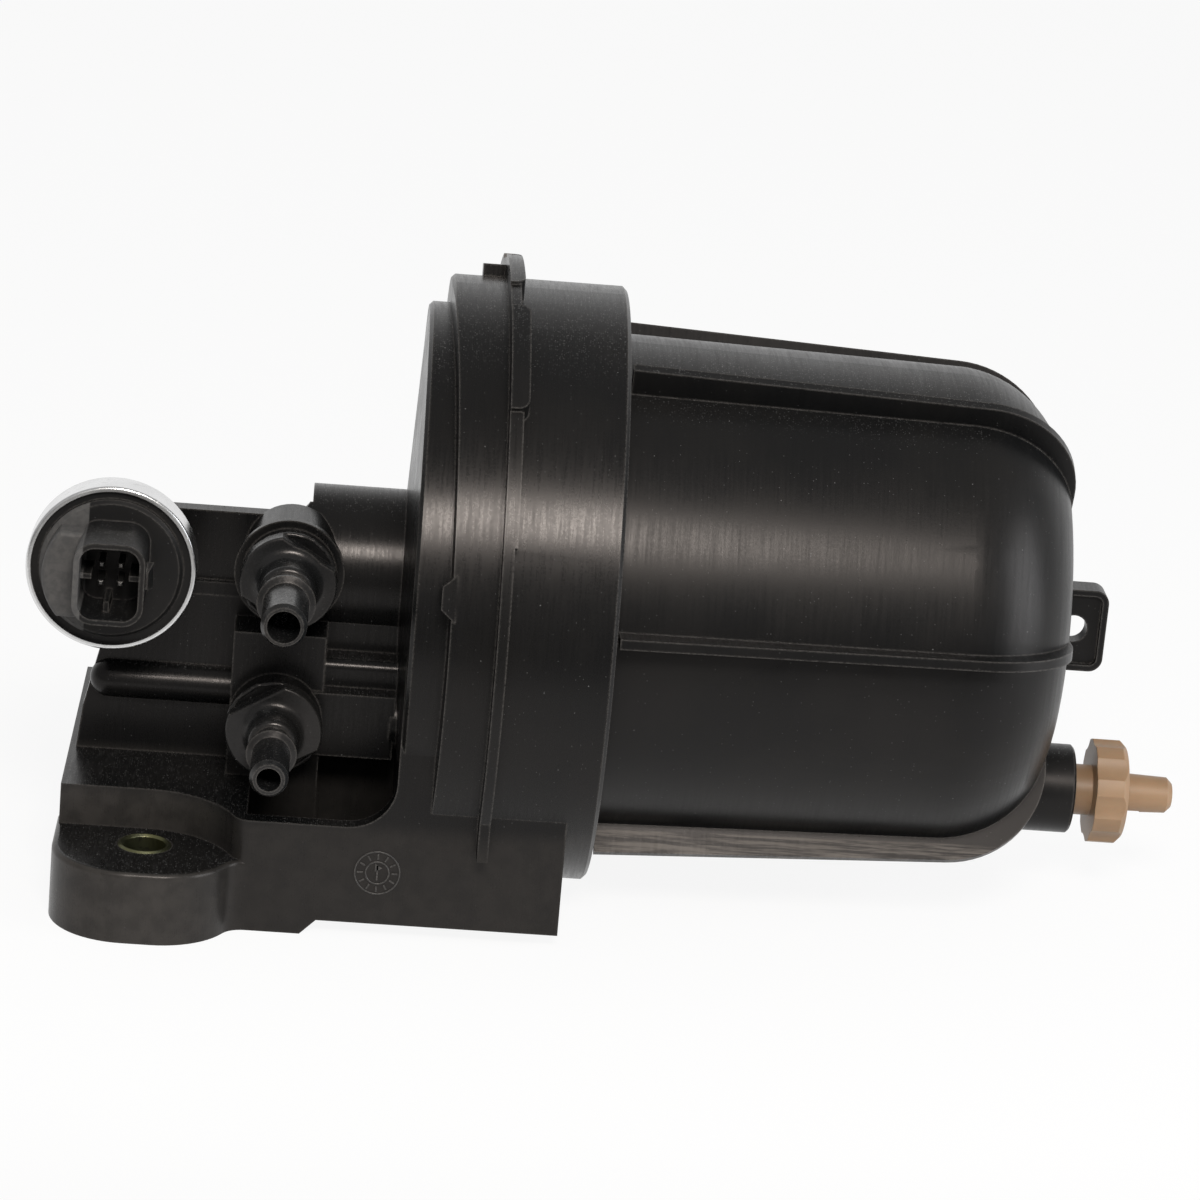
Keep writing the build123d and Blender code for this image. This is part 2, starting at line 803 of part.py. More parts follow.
# Steel bushes pressed into the ears. They stand slightly proud, so the bolts clamp metal and not plastic.
for name, side in (("mount_bush_front", -1), ("mount_bush_rear", 1)):
    with BuildPart() as mount_bush:
        with BuildSketch(Plane.XY):
            with Locations((0, side * hole_y)):
                Circle(bush_outer_radius)
                Circle(bush_hole_radius, mode=Mode.SUBTRACT)
        extrude(amount=bush_length)
        chamfer(mount_bush.faces().sort_by(Axis.Z)[-1].edges(), bush_chamfer)
    mount_bush.part.label = name
    export_step(mount_bush.part, f"parts/{name}.step")

# The two quick-connect ports: a welded plate with two flats, a neck, a latching bead and a tube.
supply_sizes = (supply_tube_radius, supply_bead_radius, supply_bore_radius)
return_sizes = (return_tube_radius, return_bead_radius, return_bore_radius)
for name, port_x, height, turn_deg, sizes in (
    ("supply_port", supply_x, supply_height, -port_key_turn_deg, supply_sizes),
    ("return_port", return_x, return_height, port_key_turn_deg, return_sizes),
):
    tube_radius, bead_radius_out, bore_radius = sizes
    port_tip = port_key_front + port_length
    spigot_end = key_back - port_spigot_length + spigot_gap
    bead_front = port_tip - port_tip_length
    port_axis = Axis((port_x, 0, height), (0, -1, 0))
    with BuildPart() as port:
        with BuildSketch(facing(key_back)):
            with Locations((port_x, height)):
                Circle(port_key_radius)
                with Locations((0, 0)):
                    Rectangle(3 * port_key_radius, port_key_flats, rotation=turn_deg, mode=Mode.INTERSECT)
        extrude(amount=port_key_thickness)
        fillet(port.faces().sort_by(Axis.Y)[0].edges(), port_key_round)
        # Outline of the neck, bead and tube in the plane through the port's axis. The neck leaves the plate
        # in a hollow curve and closes in a round shoulder.
        neck_radius = tube_radius + port_neck_wall
        neck_back = port_key_front + port_neck_round
        neck_front = port_key_front + port_neck_length
        shoulder_back = neck_front - port_neck_wall
        hollow = port_neck_round * (1 - sqrt(0.5))
        shoulder = port_neck_wall * sqrt(0.5)
        with BuildSketch(Plane(origin=(port_x, 0, height), x_dir=(0, -1, 0), z_dir=(0, 0, 1))):
            with BuildLine():
                Polyline(
                    (spigot_end, 0),
                    (spigot_end, port_spigot_radius),
                    (port_key_front - 1, port_spigot_radius),
                    (port_key_front - 1, neck_radius + port_neck_round),
                    (port_key_front, neck_radius + port_neck_round),
                )
                ThreePointArc(
                    (port_key_front, neck_radius + port_neck_round),
                    (port_key_front + hollow, neck_radius + hollow),
                    (neck_back, neck_radius),
                )
                Line((neck_back, neck_radius), (shoulder_back, neck_radius))
                ThreePointArc(
                    (shoulder_back, neck_radius),
                    (shoulder_back + shoulder, tube_radius + shoulder),
                    (neck_front, tube_radius),
                )
                Polyline(
                    (neck_front, tube_radius),
                    (bead_front - port_bead_width, tube_radius),
                    (bead_front - 0.7 * port_bead_width, bead_radius_out),
                    (bead_front - 0.3 * port_bead_width, bead_radius_out),
                    (bead_front, tube_radius),
                    (port_tip - port_tip_chamfer_length, tube_radius),
                    (port_tip, tube_radius - port_tip_chamfer),
                    (port_tip, 0),
                    (spigot_end, 0),
                )
            make_face()
        revolve(axis=port_axis)
        with BuildSketch(facing(port_tip)):
            with Locations((port_x, height)):
                Circle(bore_radius)
        extrude(amount=spigot_end - port_tip - 1, mode=Mode.SUBTRACT)
    port.part.label = name
    export_step(port.part, f"parts/{name}.step")

# Sensor base: the threaded shank screws into the boss; a chamber in its face holds the measuring cell.
with BuildPart() as sensor_base:
    with BuildSketch(facing(sensor_boss_front)):
        with Locations((sensor_x, sensor_height)):
            Circle(sensor_plate_radius)
    extrude(amount=sensor_base_thickness)
    with BuildSketch(facing(sensor_boss_front)):
        with Locations((sensor_x, sensor_height)):
            Circle(sensor_shank_radius)
    extrude(amount=-sensor_shank_length)
    with BuildSketch(facing(sensor_boss_front)):
        with Locations((sensor_x, sensor_height)):
            Circle(sensor_groove_radius + sensor_groove_width / 2)
            Circle(sensor_groove_radius - sensor_groove_width / 2, mode=Mode.SUBTRACT)
    extrude(amount=sensor_groove_depth, mode=Mode.SUBTRACT)
    with BuildSketch(facing(sensor_base_front)):
        with Locations((sensor_x, sensor_height)):
            Circle(sensor_chamber_radius)
    extrude(amount=-sensor_chamber_depth, mode=Mode.SUBTRACT)
    with BuildSketch(facing(sensor_base_front)):
        with Locations((sensor_x, sensor_height)):
            Circle(sensor_passage_radius)
    extrude(amount=-sensor_base_thickness - sensor_shank_length, mode=Mode.SUBTRACT)
sensor_base.part.label = "sensor_base"
export_step(sensor_base.part, "parts/sensor_base.step")

# Seal between the sensor's base and its boss, squashed to the groove's depth.
with BuildPart() as sensor_seal:
    with BuildSketch(facing(sensor_boss_front)):
        with Locations((sensor_x, sensor_height)):
            Circle(sensor_groove_radius + sensor_groove_width / 2 - fit_clearance)
            Circle(sensor_groove_radius - sensor_groove_width / 2 + fit_clearance, mode=Mode.SUBTRACT)
    extrude(amount=sensor_groove_depth)
sensor_seal.part.label = "sensor_seal"
export_step(sensor_seal.part, "parts/sensor_seal.step")

# Ring seal below the measuring cell, the ceramic cell and its circuit board.
chamber_floor = sensor_base_front - sensor_chamber_depth
cell_seal_thickness = sensor_chamber_depth - cell_thickness
with BuildPart() as cell_seal:
    with BuildSketch(facing(chamber_floor)):
        with Locations((sensor_x, sensor_height)):
            Circle(cell_seal_radius + cell_seal_width / 2)
            Circle(cell_seal_radius - cell_seal_width / 2, mode=Mode.SUBTRACT)
    extrude(amount=cell_seal_thickness)
cell_seal.part.label = "cell_seal"
export_step(cell_seal.part, "parts/cell_seal.step")

with BuildPart() as sensor_cell:
    with BuildSketch(facing(chamber_floor + cell_seal_thickness)):
        with Locations((sensor_x, sensor_height)):
            Circle(cell_radius)
    extrude(amount=cell_thickness)
sensor_cell.part.label = "sensor_cell"
export_step(sensor_cell.part, "parts/sensor_cell.step")

# Plug housing: a stepped disc, a raised segment and the open shroud with its latch ramp and keys.
with BuildPart() as sensor_plug:
    with BuildSketch(facing(sensor_base_front)):
        with Locations((sensor_x, sensor_height)):
            Circle(sensor_plate_radius)
    extrude(amount=sensor_disc_thickness)
    with BuildSketch(facing(sensor_disc_front)):
        with Locations((sensor_x, sensor_height)):
            Circle(sensor_step_radius)
    extrude(amount=sensor_step_height)
    chamfer(sensor_plug.faces().sort_by(Axis.Y)[0].edges(), sensor_step_bevel)
    with BuildSketch(facing(sensor_disc_front)) as pad:
        with Locations((sensor_x, sensor_height)):
            Circle(sensor_pad_radius)
            with Locations((-sensor_pad_radius + sensor_pad_chord / 2, 0)):
                Rectangle(sensor_pad_chord, 2 * sensor_pad_half_height, mode=Mode.INTERSECT)
    extrude(amount=sensor_pad_rise)
    fillet(sensor_plug.faces().sort_by(Axis.Y)[0].edges(), sensor_pad_round)
    with BuildSketch(facing(sensor_disc_front)):
        with Locations((socket_x, socket_middle)):
            RectangleRounded(socket_width, socket_height, socket_corner_radius)
    extrude(amount=socket_reach)
    with BuildSketch(facing(sensor_disc_front + socket_reach - latch_length)):
        with Locations((socket_x + socket_width / 2, socket_middle)):
            Rectangle(2 * latch_proud, latch_width)
    extrude(amount=latch_length / 2, taper=12)
    with BuildSketch(facing(sensor_disc_front + socket_reach)):
        with Locations((socket_x, socket_middle)):
            RectangleRounded(socket_width - 2 * socket_wall, socket_height - 2 * socket_wall,
                             socket_corner_radius - socket_wall)
    extrude(amount=-socket_depth, mode=Mode.SUBTRACT)
    # Three keys stand in from the shroud's walls: left, right and below.
    inner_x = socket_width / 2 - socket_wall
    inner_z = socket_height / 2 - socket_wall
    with BuildSketch(facing(sensor_disc_front + socket_reach - socket_depth)):
        for side in (-1, 1):
            with Locations((socket_x + side * (inner_x - socket_key_reach / 2), socket_middle)):
                Rectangle(socket_key_reach + 0.2, socket_key_width)
        with Locations((sensor_x, socket_middle - inner_z + socket_key_reach / 2)):
            Rectangle(socket_key_width, socket_key_reach + 0.2)
    extrude(amount=socket_key_length)
    # Slots for the terminals, and the room for the circuit board behind.
    with BuildSketch(facing(sensor_base_front)):
        with Locations((sensor_x, sensor_height)):
            Circle(sensor_chamber_radius)
    extrude(amount=board_gap + board_thickness, mode=Mode.SUBTRACT)
    with BuildSketch(facing(sensor_base_front)):
        with Locations((socket_x, socket_middle)):
            with GridLocations(terminal_pitch, terminal_pitch, 2, 2):
                Rectangle(terminal_size, terminal_size)
    extrude(amount=sensor_disc_thickness + socket_reach - socket_depth, mode=Mode.SUBTRACT)
sensor_plug.part.label = "sensor_plug"
export_step(sensor_plug.part, "parts/sensor_plug.step")

with BuildPart() as sensor_board:
    with BuildSketch(facing(sensor_base_front + board_gap)):
        with Locations((sensor_x, sensor_height)):
            Circle(board_radius)
        with Locations((socket_x, socket_middle)):
            with GridLocations(terminal_pitch, terminal_pitch, 2, 2):
                Rectangle(terminal_size, terminal_size, mode=Mode.SUBTRACT)
    extrude(amount=board_thickness)
sensor_board.part.label = "sensor_board"
export_step(sensor_board.part, "parts/sensor_board.step")

# Four square terminals, from the board into the plug shroud.
terminal_front = sensor_disc_front + socket_reach - socket_depth + terminal_reach
with BuildPart() as sensor_terminals:
    with BuildSketch(facing(sensor_base_front + board_gap)):
        with Locations((socket_x, socket_middle)):
            with GridLocations(terminal_pitch, terminal_pitch, 2, 2):
                Rectangle(terminal_size, terminal_size)
    extrude(amount=terminal_front - sensor_base_front - board_gap)
    chamfer(sensor_terminals.faces().sort_by(Axis.Y)[:4].edges(), 0.3)
sensor_terminals.part.label = "sensor_terminals"
export_step(sensor_terminals.part, "parts/sensor_terminals.step")

# Aluminium cup rolled over the base and the plug housing.
with BuildPart() as crimp_ring:
    with BuildSketch(facing(crimp_back)):
        with Locations((sensor_x, sensor_height)):
            Circle(crimp_radius)
    extrude(amount=crimp_front - crimp_back)
    fillet(crimp_ring.edges().filter_by(GeomType.CIRCLE), crimp_round)
    with BuildSketch(facing(sensor_boss_front)):
        with Locations((sensor_x, sensor_height)):
            Circle(sensor_plate_radius)
    extrude(amount=sensor_disc_front - sensor_boss_front, mode=Mode.SUBTRACT)
    with BuildSketch(facing(crimp_back)):
        with Locations((sensor_x, sensor_height)):
            Circle(sensor_plate_radius - crimp_lip_reach)
    extrude(amount=crimp_front - crimp_back, mode=Mode.SUBTRACT)
crimp_ring.part.label = "crimp_ring"
export_step(crimp_ring.part, "parts/crimp_ring.step")

# Filter bowl: a tapered barrel with a domed end, a threaded neck, ribs, a lug and the drain's boss.
with BuildPart() as filter_bowl:
    with BuildSketch(along()):
        bowl_half(bowl_thread_right, 0, bowl_crown)
    revolve(axis=filter_axis)
    groove_radius = neck_land_radius - neck_groove_depth
    with BuildSketch(along()):
        with BuildLine():
            Polyline(
                (bowl_neck_left, 0),
                (bowl_neck_left, neck_land_radius - edge_round),
                (bowl_neck_left + edge_round, neck_land_radius),
                (neck_groove_left, neck_land_radius),
                (neck_groove_left, groove_radius),
                (neck_groove_left + neck_groove_width, groove_radius),
                (neck_groove_left + neck_groove_width, neck_land_radius),
                (bowl_thread_left, neck_land_radius),
                (bowl_thread_left, bowl_thread_radius),
                (bowl_thread_right, bowl_thread_radius),
                (bowl_thread_right + 1, 0),
                close=True,
            )
        make_face()
    revolve(axis=filter_axis)

    # Ribs, highest at the collar, that follow the shoulder and run out on the end.
    rib_left = collar_right + rib_gap
    rib_end = bowl_end - rib_end_inset
    rib_start_radius = bowl_radius(rib_left) + rib_height
    rib_end_radius = rib_start_radius - (rib_end - rib_left) * tan(radians(rib_taper_deg))
    for i in range(rib_count):
        with BuildSketch(along(up_deg=rib_first_deg + i * 360 / rib_count)):
            with BuildLine() as rib:
                Polyline(
                    (rib_left, 0),
                    (rib_left, rib_start_radius),
                    (rib_end, rib_end_radius),
                    (rib_end, 0),
                    close=True,
                )
                shoulder_corner = rib.vertices().sort_by_distance((rib_end, rib_end_radius, 0))[0]
                fillet(shoulder_corner, rib_shoulder_radius)
            make_face()
        extrude(amount=rib_thickness / 2, both=True)

    # The lug on the end, thin in the middle with a rim round its edge.
    lug_length = lug_right - bowl_end + bowl_wall - 0.5
    lug_middle = (lug_low + lug_high) / 2
    with BuildPart(mode=Mode.PRIVATE) as lug:
        with BuildSketch(facing(0)):
            with Locations((lug_right - lug_length / 2, lug_middle)):
                RectangleRounded(lug_length, lug_high - lug_low, lug_corner_radius)
        extrude(amount=lug_flange / 2, both=True)
        for side in (-1, 1):
            with BuildSketch(facing(side * lug_web / 2)):
                with Locations((lug_right - lug_flange_thickness - lug_length / 2, lug_middle)):
                    RectangleRounded(lug_length, lug_high - lug_low - 2 * lug_flange_thickness,
                                     lug_corner_radius - lug_flange_thickness)
            extrude(amount=side * lug_flange / 2, mode=Mode.SUBTRACT)
        with BuildSketch(facing(0)):
            with Locations((lug_hole_x, lug_middle)):
                Circle(lug_hole_radius)
        extrude(amount=lug_flange, both=True, mode=Mode.SUBTRACT)
    add(lug.part)
    with BuildSketch(across(drain_boss_left, drain_height)):
        Circle(drain_boss_radius)
    extrude(amount=drain_boss_right - drain_boss_left)
    boss_edges = filter_bowl.edges().filter_by(GeomType.CIRCLE)
    chamfer(boss_edges.filter_by_position(Axis.X, drain_boss_right - 0.01, drain_boss_right + 0.01), 0.5)

    # The inside, then the parts that stand in it: the element's pilot and the drain's sleeve.
    with BuildSketch(along()):
        bowl_half(bowl_thread_right, -bowl_wall)
        with Locations(((bowl_neck_left + bowl_thread_right) / 2, bowl_neck_bore_radius / 2)):
            Rectangle(bowl_thread_right - bowl_neck_left, bowl_neck_bore_radius)
    revolve(axis=filter_axis, mode=Mode.SUBTRACT)
    with BuildSketch(across(inner_end - pilot_depth)):
        Circle(peg_radius + fit_clearance + pilot_wall)
        Circle(peg_radius + fit_clearance, mode=Mode.SUBTRACT)
    extrude(amount=pilot_depth + 1)
    with BuildSketch(across(drain_sleeve_left, drain_height)):
        Circle(drain_sleeve_radius)
    extrude(amount=drain_seat_end - drain_sleeve_left)
    with BuildSketch(across(drain_sleeve_left, drain_height)):
        Circle(drain_seat_radius)
    extrude(amount=drain_boss_right - drain_sleeve_left, mode=Mode.SUBTRACT)
    with BuildSketch(across(drain_seat_end, drain_height)):
        Circle(drain_stem_radius + drain_stem_clearance)
    extrude(amount=drain_boss_right - drain_seat_end, mode=Mode.SUBTRACT)
filter_bowl.part.label = "filter_bowl"
export_step(filter_bowl.part, "parts/filter_bowl.step")

# The bowl's seal, in the groove of its neck.
seal_inner = groove_radius + fit_clearance
seal_outer = collar_bore_radius - seal_gap
with BuildPart() as bowl_seal:
    add(rounded_ring((seal_inner + seal_outer) / 2, (seal_outer - seal_inner) / 2,
                     neck_groove_left + neck_groove_width / 2))
bowl_seal.part.label = "bowl_seal"
export_step(bowl_seal.part, "parts/bowl_seal.step")

# Drain valve: one hollow hand screw with a sealing tip, a scalloped knob and an outlet nozzle.
with BuildPart() as drain_valve:
    drain_groove_radius = drain_tip_radius - drain_groove_depth
    with BuildSketch(along(drain_height)):
        with BuildLine():
            Polyline(
                (drain_tip_left, 0),
                (drain_tip_left, drain_tip_radius - 0.5),
                (drain_tip_left + 0.5, drain_tip_radius),
                (drain_groove_left, drain_tip_radius),
                (drain_groove_left, drain_groove_radius),
                (drain_groove_left + drain_groove_width, drain_groove_radius),
                (drain_groove_left + drain_groove_width, drain_tip_radius),
                (drain_seat_end + drain_seat_gap, drain_tip_radius),
                (drain_seat_end + drain_seat_gap, drain_stem_radius - 0.6),
                (drain_seat_end + drain_seat_gap + 0.6, drain_stem_radius),
                (knob_left, drain_stem_radius),
                (knob_left, drain_knob_radius),
                (knob_right - drain_knob_chamfer, drain_knob_radius),
                (knob_right, drain_knob_radius - drain_knob_chamfer),
                (knob_right, drain_nozzle_radius),
                (nozzle_right - drain_nozzle_round, drain_nozzle_radius - drain_nozzle_taper),
                (nozzle_right, drain_nozzle_radius - drain_nozzle_taper - drain_nozzle_round),
                (nozzle_right, 0),
                close=True,
            )
        make_face()
    revolve(axis=drain_axis)
    with BuildSketch(across(knob_left, drain_height)):
        with PolarLocations(drain_knob_radius + drain_flute_radius - drain_flute_depth, drain_flutes):
            Circle(drain_flute_radius)
    extrude(amount=drain_knob_thickness, mode=Mode.SUBTRACT)
    with BuildSketch(across(drain_bore_left, drain_height)):
        Circle(drain_bore_radius)
    extrude(amount=nozzle_right - drain_bore_left, mode=Mode.SUBTRACT)
    with BuildSketch(Plane(origin=(drain_cross_hole_x, 0, drain_height), z_dir=(0, 1, 0))):
        Circle(drain_cross_hole_radius)
    extrude(amount=drain_tip_radius + 0.5, both=True, mode=Mode.SUBTRACT)
    # A relief below the nozzle, where a drain hose catches.
    with Locations((drain_notch_left + drain_notch_length / 2, 0, drain_height - drain_nozzle_radius)):
        Box(drain_notch_length, 2 * drain_nozzle_radius, 2 * drain_notch_depth, mode=Mode.SUBTRACT)
drain_valve.part.label = "drain_valve"
export_step(drain_valve.part, "parts/drain_valve.step")

drain_seal_inner = drain_groove_radius + fit_clearance
drain_seal_outer = drain_seat_radius - fit_clearance
with BuildPart() as drain_seal:
    add(rounded_ring((drain_seal_inner + drain_seal_outer) / 2, (drain_seal_outer - drain_seal_inner) / 2,
                     drain_groove_left + drain_groove_width / 2, drain_height))
drain_seal.part.label = "drain_seal"
export_step(drain_seal.part, "parts/drain_seal.step")

# Element: the end cap towards the head, with a neck that carries the grommet on the standpipe.
with BuildPart() as element_top_cap:
    with BuildSketch(across(top_cap_left)):
        Circle(cap_radius)
    extrude(amount=cap_thickness)
    with BuildSketch(across(cap_right)):
        Circle(cap_radius)
        Circle(cap_radius - cap_rim_wall, mode=Mode.SUBTRACT)
    extrude(amount=cap_rim)
    with BuildSketch(across(top_cap_left - top_cap_neck_length)):
        Circle(top_cap_neck_radius)
    extrude(amount=top_cap_neck_length)
    with BuildSketch(across(top_cap_left - top_cap_neck_length)):
        Circle(element_seal_radius)
    extrude(amount=top_cap_neck_length + cap_thickness, mode=Mode.SUBTRACT)
element_top_cap.part.label = "element_top_cap"
export_step(element_top_cap.part, "parts/element_top_cap.step")

with BuildPart() as element_grommet:
    with BuildSketch(across(top_cap_left - top_cap_neck_length)):
        Circle(element_seal_radius)
    extrude(amount=top_cap_neck_length + cap_thickness)
    with BuildSketch(across(top_cap_left - top_cap_neck_length - element_seal_flange_thickness)):
        Circle(element_seal_flange)
    extrude(amount=element_seal_flange_thickness)
    with BuildSketch(across(top_cap_left - top_cap_neck_length - element_seal_flange_thickness)):
        Circle(standpipe_radius + fit_clearance)
    extrude(amount=2 * top_cap_neck_length + cap_thickness, mode=Mode.SUBTRACT)
element_grommet.part.label = "element_grommet"
export_step(element_grommet.part, "parts/element_grommet.step")

# The other end cap, closed, with a peg in the bowl's pilot.
with BuildPart() as element_bottom_cap:
    with BuildSketch(across(bottom_cap_left - cap_rim)):
        Circle(cap_radius)
        Circle(cap_radius - cap_rim_wall, mode=Mode.SUBTRACT)
    extrude(amount=cap_rim)
    with BuildSketch(across(bottom_cap_left)):
        Circle(cap_radius)
    extrude(amount=cap_thickness)
    with BuildSketch(across(bottom_cap_left + cap_thickness)):
        Circle(peg_radius)
    extrude(amount=inner_end - end_play - bottom_cap_left - cap_thickness)
element_bottom_cap.part.label = "element_bottom_cap"
export_step(element_bottom_cap.part, "parts/element_bottom_cap.step")

# Slotted core tube and the water screen round it.
element_length = bottom_cap_left - cap_right
with BuildPart() as element_core:
    with BuildSketch(across(cap_right)):
        Circle(core_outer_radius)
        Circle(core_outer_radius - core_tube_wall, mode=Mode.SUBTRACT)
    extrude(amount=element_length)
    slot_pitch = element_length / core_slot_rows
    for i in range(core_slot_columns):
        turn = radians(i * 180 / core_slot_columns)
        with BuildSketch(Plane(origin=(cap_right + element_length / 2, 0, axis_height), x_dir=(1, 0, 0),
                               z_dir=(0, sin(turn), cos(turn)))):
            with GridLocations(slot_pitch, 1, core_slot_rows, 1):
                RectangleRounded(core_slot_length, core_slot_width, 1.5)
        extrude(amount=core_outer_radius + 1, both=True, mode=Mode.SUBTRACT)
element_core.part.label = "element_core"
export_step(element_core.part, "parts/element_core.step")

with BuildPart() as water_screen:
    with BuildSketch(across(cap_right)):
        Circle(screen_outer_radius)
        Circle(screen_outer_radius - screen_wall, mode=Mode.SUBTRACT)
    extrude(amount=element_length)
water_screen.part.label = "water_screen"
export_step(water_screen.part, "parts/water_screen.step")


def pleat_corners(inner, outer, thickness, count, fill):
    """Corners of the pleated sheet's inner and outer face, four a pleat, one sheet thickness apart."""
    half = pi / count
    middle = []
    for i in range(count):
        for radius, shift in ((outer - thickness / 2, -fill), (outer - thickness / 2, fill),
                              (inner + thickness / 2, 1 - fill), (inner + thickness / 2, 1 + fill)):
            angle = 2 * half * i + half * shift
            middle.append((radius * cos(angle), radius * sin(angle)))
    faces = []
    for shift in (-thickness / 2, thickness / 2):
        moved = []
        for before, here, after in zip(middle[-1:] + middle[:-1], middle, middle[1:] + middle[:1]):
            first = (here[0] - before[0], here[1] - before[1])
            second = (after[0] - here[0], after[1] - here[1])
            normals = [(v[1] / hypot(*v), -v[0] / hypot(*v)) for v in (first, second)]
            scale = shift / (1 + normals[0][0] * normals[1][0] + normals[0][1] * normals[1][1])
            moved.append((here[0] + scale * (normals[0][0] + normals[1][0]),
                          here[1] + scale * (normals[0][1] + normals[1][1])))
        faces.append(moved)
    return faces


with BuildPart() as filter_media:
    inner_corners, outer_corners = pleat_corners(
        media_inner_radius, media_outer_radius, media_thickness, pleat_count, pleat_fill
    )
    with BuildSketch(across(cap_right)):
        with BuildLine() as outer_face:
            Polyline(*outer_corners, close=True)
        make_face()
        with BuildLine() as inner_face:
            Polyline(*inner_corners, close=True)
        make_face(inner_face.edges(), mode=Mode.SUBTRACT)
    extrude(amount=element_length)
filter_media.part.label = "filter_media"
export_step(filter_media.part, "parts/filter_media.step")
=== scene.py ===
# %% [markdown]
# # A diesel fuel filter housing
#
# The real object is a black moulded head with mounting ears, hose ports and a crimped sensor.
# A ribbed black bowl screws into its collar, and a tan screw in the bowl's end drains the water.
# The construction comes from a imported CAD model, which this script loads as a fixed frame.
# Each piece that shows gets softened edges, as a moulding has them, and its own finish.

# %% Load the frame
import json
from math import cos, pi, radians, sin, tan

import bmesh
import bpy
from mathutils import Matrix, Vector
from mathutils.bvhtree import BVHTree
from mathutils.interpolate import poly_3d_calc


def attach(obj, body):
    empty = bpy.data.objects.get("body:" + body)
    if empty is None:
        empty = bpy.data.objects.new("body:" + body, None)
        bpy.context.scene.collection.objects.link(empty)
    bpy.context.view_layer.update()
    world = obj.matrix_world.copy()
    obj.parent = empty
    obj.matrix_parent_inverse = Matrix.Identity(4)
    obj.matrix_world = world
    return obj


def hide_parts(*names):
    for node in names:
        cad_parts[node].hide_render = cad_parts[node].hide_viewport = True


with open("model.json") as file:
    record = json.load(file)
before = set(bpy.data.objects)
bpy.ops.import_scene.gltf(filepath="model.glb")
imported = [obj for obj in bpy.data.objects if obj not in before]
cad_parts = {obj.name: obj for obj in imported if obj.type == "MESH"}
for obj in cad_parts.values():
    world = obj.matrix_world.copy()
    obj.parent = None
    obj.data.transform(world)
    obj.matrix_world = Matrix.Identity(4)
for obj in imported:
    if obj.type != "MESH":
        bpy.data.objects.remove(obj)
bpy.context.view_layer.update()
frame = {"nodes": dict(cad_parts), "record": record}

MM = 0.001
nodes = frame["nodes"]

# %% [markdown]
# ## Heights and places that several steps share
#
# The filter's axis runs along X. The bowl's barrel narrows towards its end, because a mould needs that.

# %% Shared places, in millimetres
AXIS_HEIGHT = 65.0
DRAIN_HEIGHT = 25.0
BARREL_LEFT = 92.0
BARREL_RADIUS = 54.4
BARREL_DRAFT_DEG = 1.4
print("The barrel starts at x =", BARREL_LEFT, "mm, with a radius of", BARREL_RADIUS, "mm")

# %% [markdown]
# ## The camera
#
# A long lens keeps the proportions calm, as in a studio shot of a product.
# The camera looks 17.5 degrees down on the filter's axis, comes a little from the left and is rolled,
# so that the object leans down to the right in the picture.
# Its place follows from one point: where the filter's axis meets the collar's end, seen near the
# picture's middle.

# %% Camera
PICTURE = 1200
AZIMUTH, ELEVATION, ROLL = radians(3.55), radians(17.5), radians(5.1)
FOCAL_PIXELS = 4500.0
DISTANCE = 978.3 * MM
AIM = Vector((95, 0, AXIS_HEIGHT)) * MM
AIM_PIXEL = (608.0, 583.0)
SENSOR_WIDTH = 36.0

ahead = Vector((sin(AZIMUTH) * cos(ELEVATION), cos(AZIMUTH) * cos(ELEVATION), -sin(ELEVATION)))
level = Vector((cos(AZIMUTH), -sin(AZIMUTH), 0))
upward = level.cross(ahead)
right = cos(ROLL) * level + sin(ROLL) * upward
top = cos(ROLL) * upward - sin(ROLL) * level
to_the_right = (AIM_PIXEL[0] - PICTURE / 2) / FOCAL_PIXELS * DISTANCE
below_middle = (AIM_PIXEL[1] - PICTURE / 2) / FOCAL_PIXELS * DISTANCE
eye = AIM - DISTANCE * ahead - to_the_right * right + below_middle * top

camera_data = bpy.data.cameras.new("camera")
camera_data.sensor_width = SENSOR_WIDTH
camera_data.lens = FOCAL_PIXELS / PICTURE * SENSOR_WIDTH
camera = bpy.data.objects.new("camera", camera_data)
bpy.context.collection.objects.link(camera)
camera.matrix_world = Matrix.Translation(eye) @ Matrix((right, top, -ahead)).transposed().to_4x4()
bpy.context.scene.camera = camera
print("The lens has", round(camera_data.lens), "mm, and the camera stands", [round(c, 3) for c in eye])

# %% [markdown]
# ## Shader maths as Python
#
# A material's pattern is arithmetic on node sockets. A small class wraps one socket and overloads the
# operators, so that 0.3 + 0.1 * noise adds the Math nodes by itself. Every other node comes from one method.

# %% A socket that can be calculated with
class Signal:
    """One output socket of a node tree."""

    def __init__(self, wiring, socket):
        self.wiring = wiring
        self.socket = socket

    def maths(self, operation, *values):
        """A Math node on the given values, or on this signal alone."""
        inputs = dict(enumerate(values or (self,)))
        return self.wiring.node("ShaderNodeMath", {"operation": operation}, inputs)

    def __add__(self, other):
        return self.maths("ADD", self, other)

    def __sub__(self, other):
        return self.maths("SUBTRACT", self, other)

    def __mul__(self, other):
        return self.maths("MULTIPLY", self, other)

    def __truediv__(self, other):
        return self.maths("DIVIDE", self, other)

    def __rsub__(self, other):
        return self.maths("SUBTRACT", other, self)

    __radd__ = __add__
    __rmul__ = __mul__

    def above(self, low, high):
        """0 below low, 1 above high, and smooth between them."""
        return self.wiring.node(
            "ShaderNodeMapRange",
            {"interpolation_type": "SMOOTHSTEP"},
            {"Value": self, "From Min": low, "From Max": high},
        )


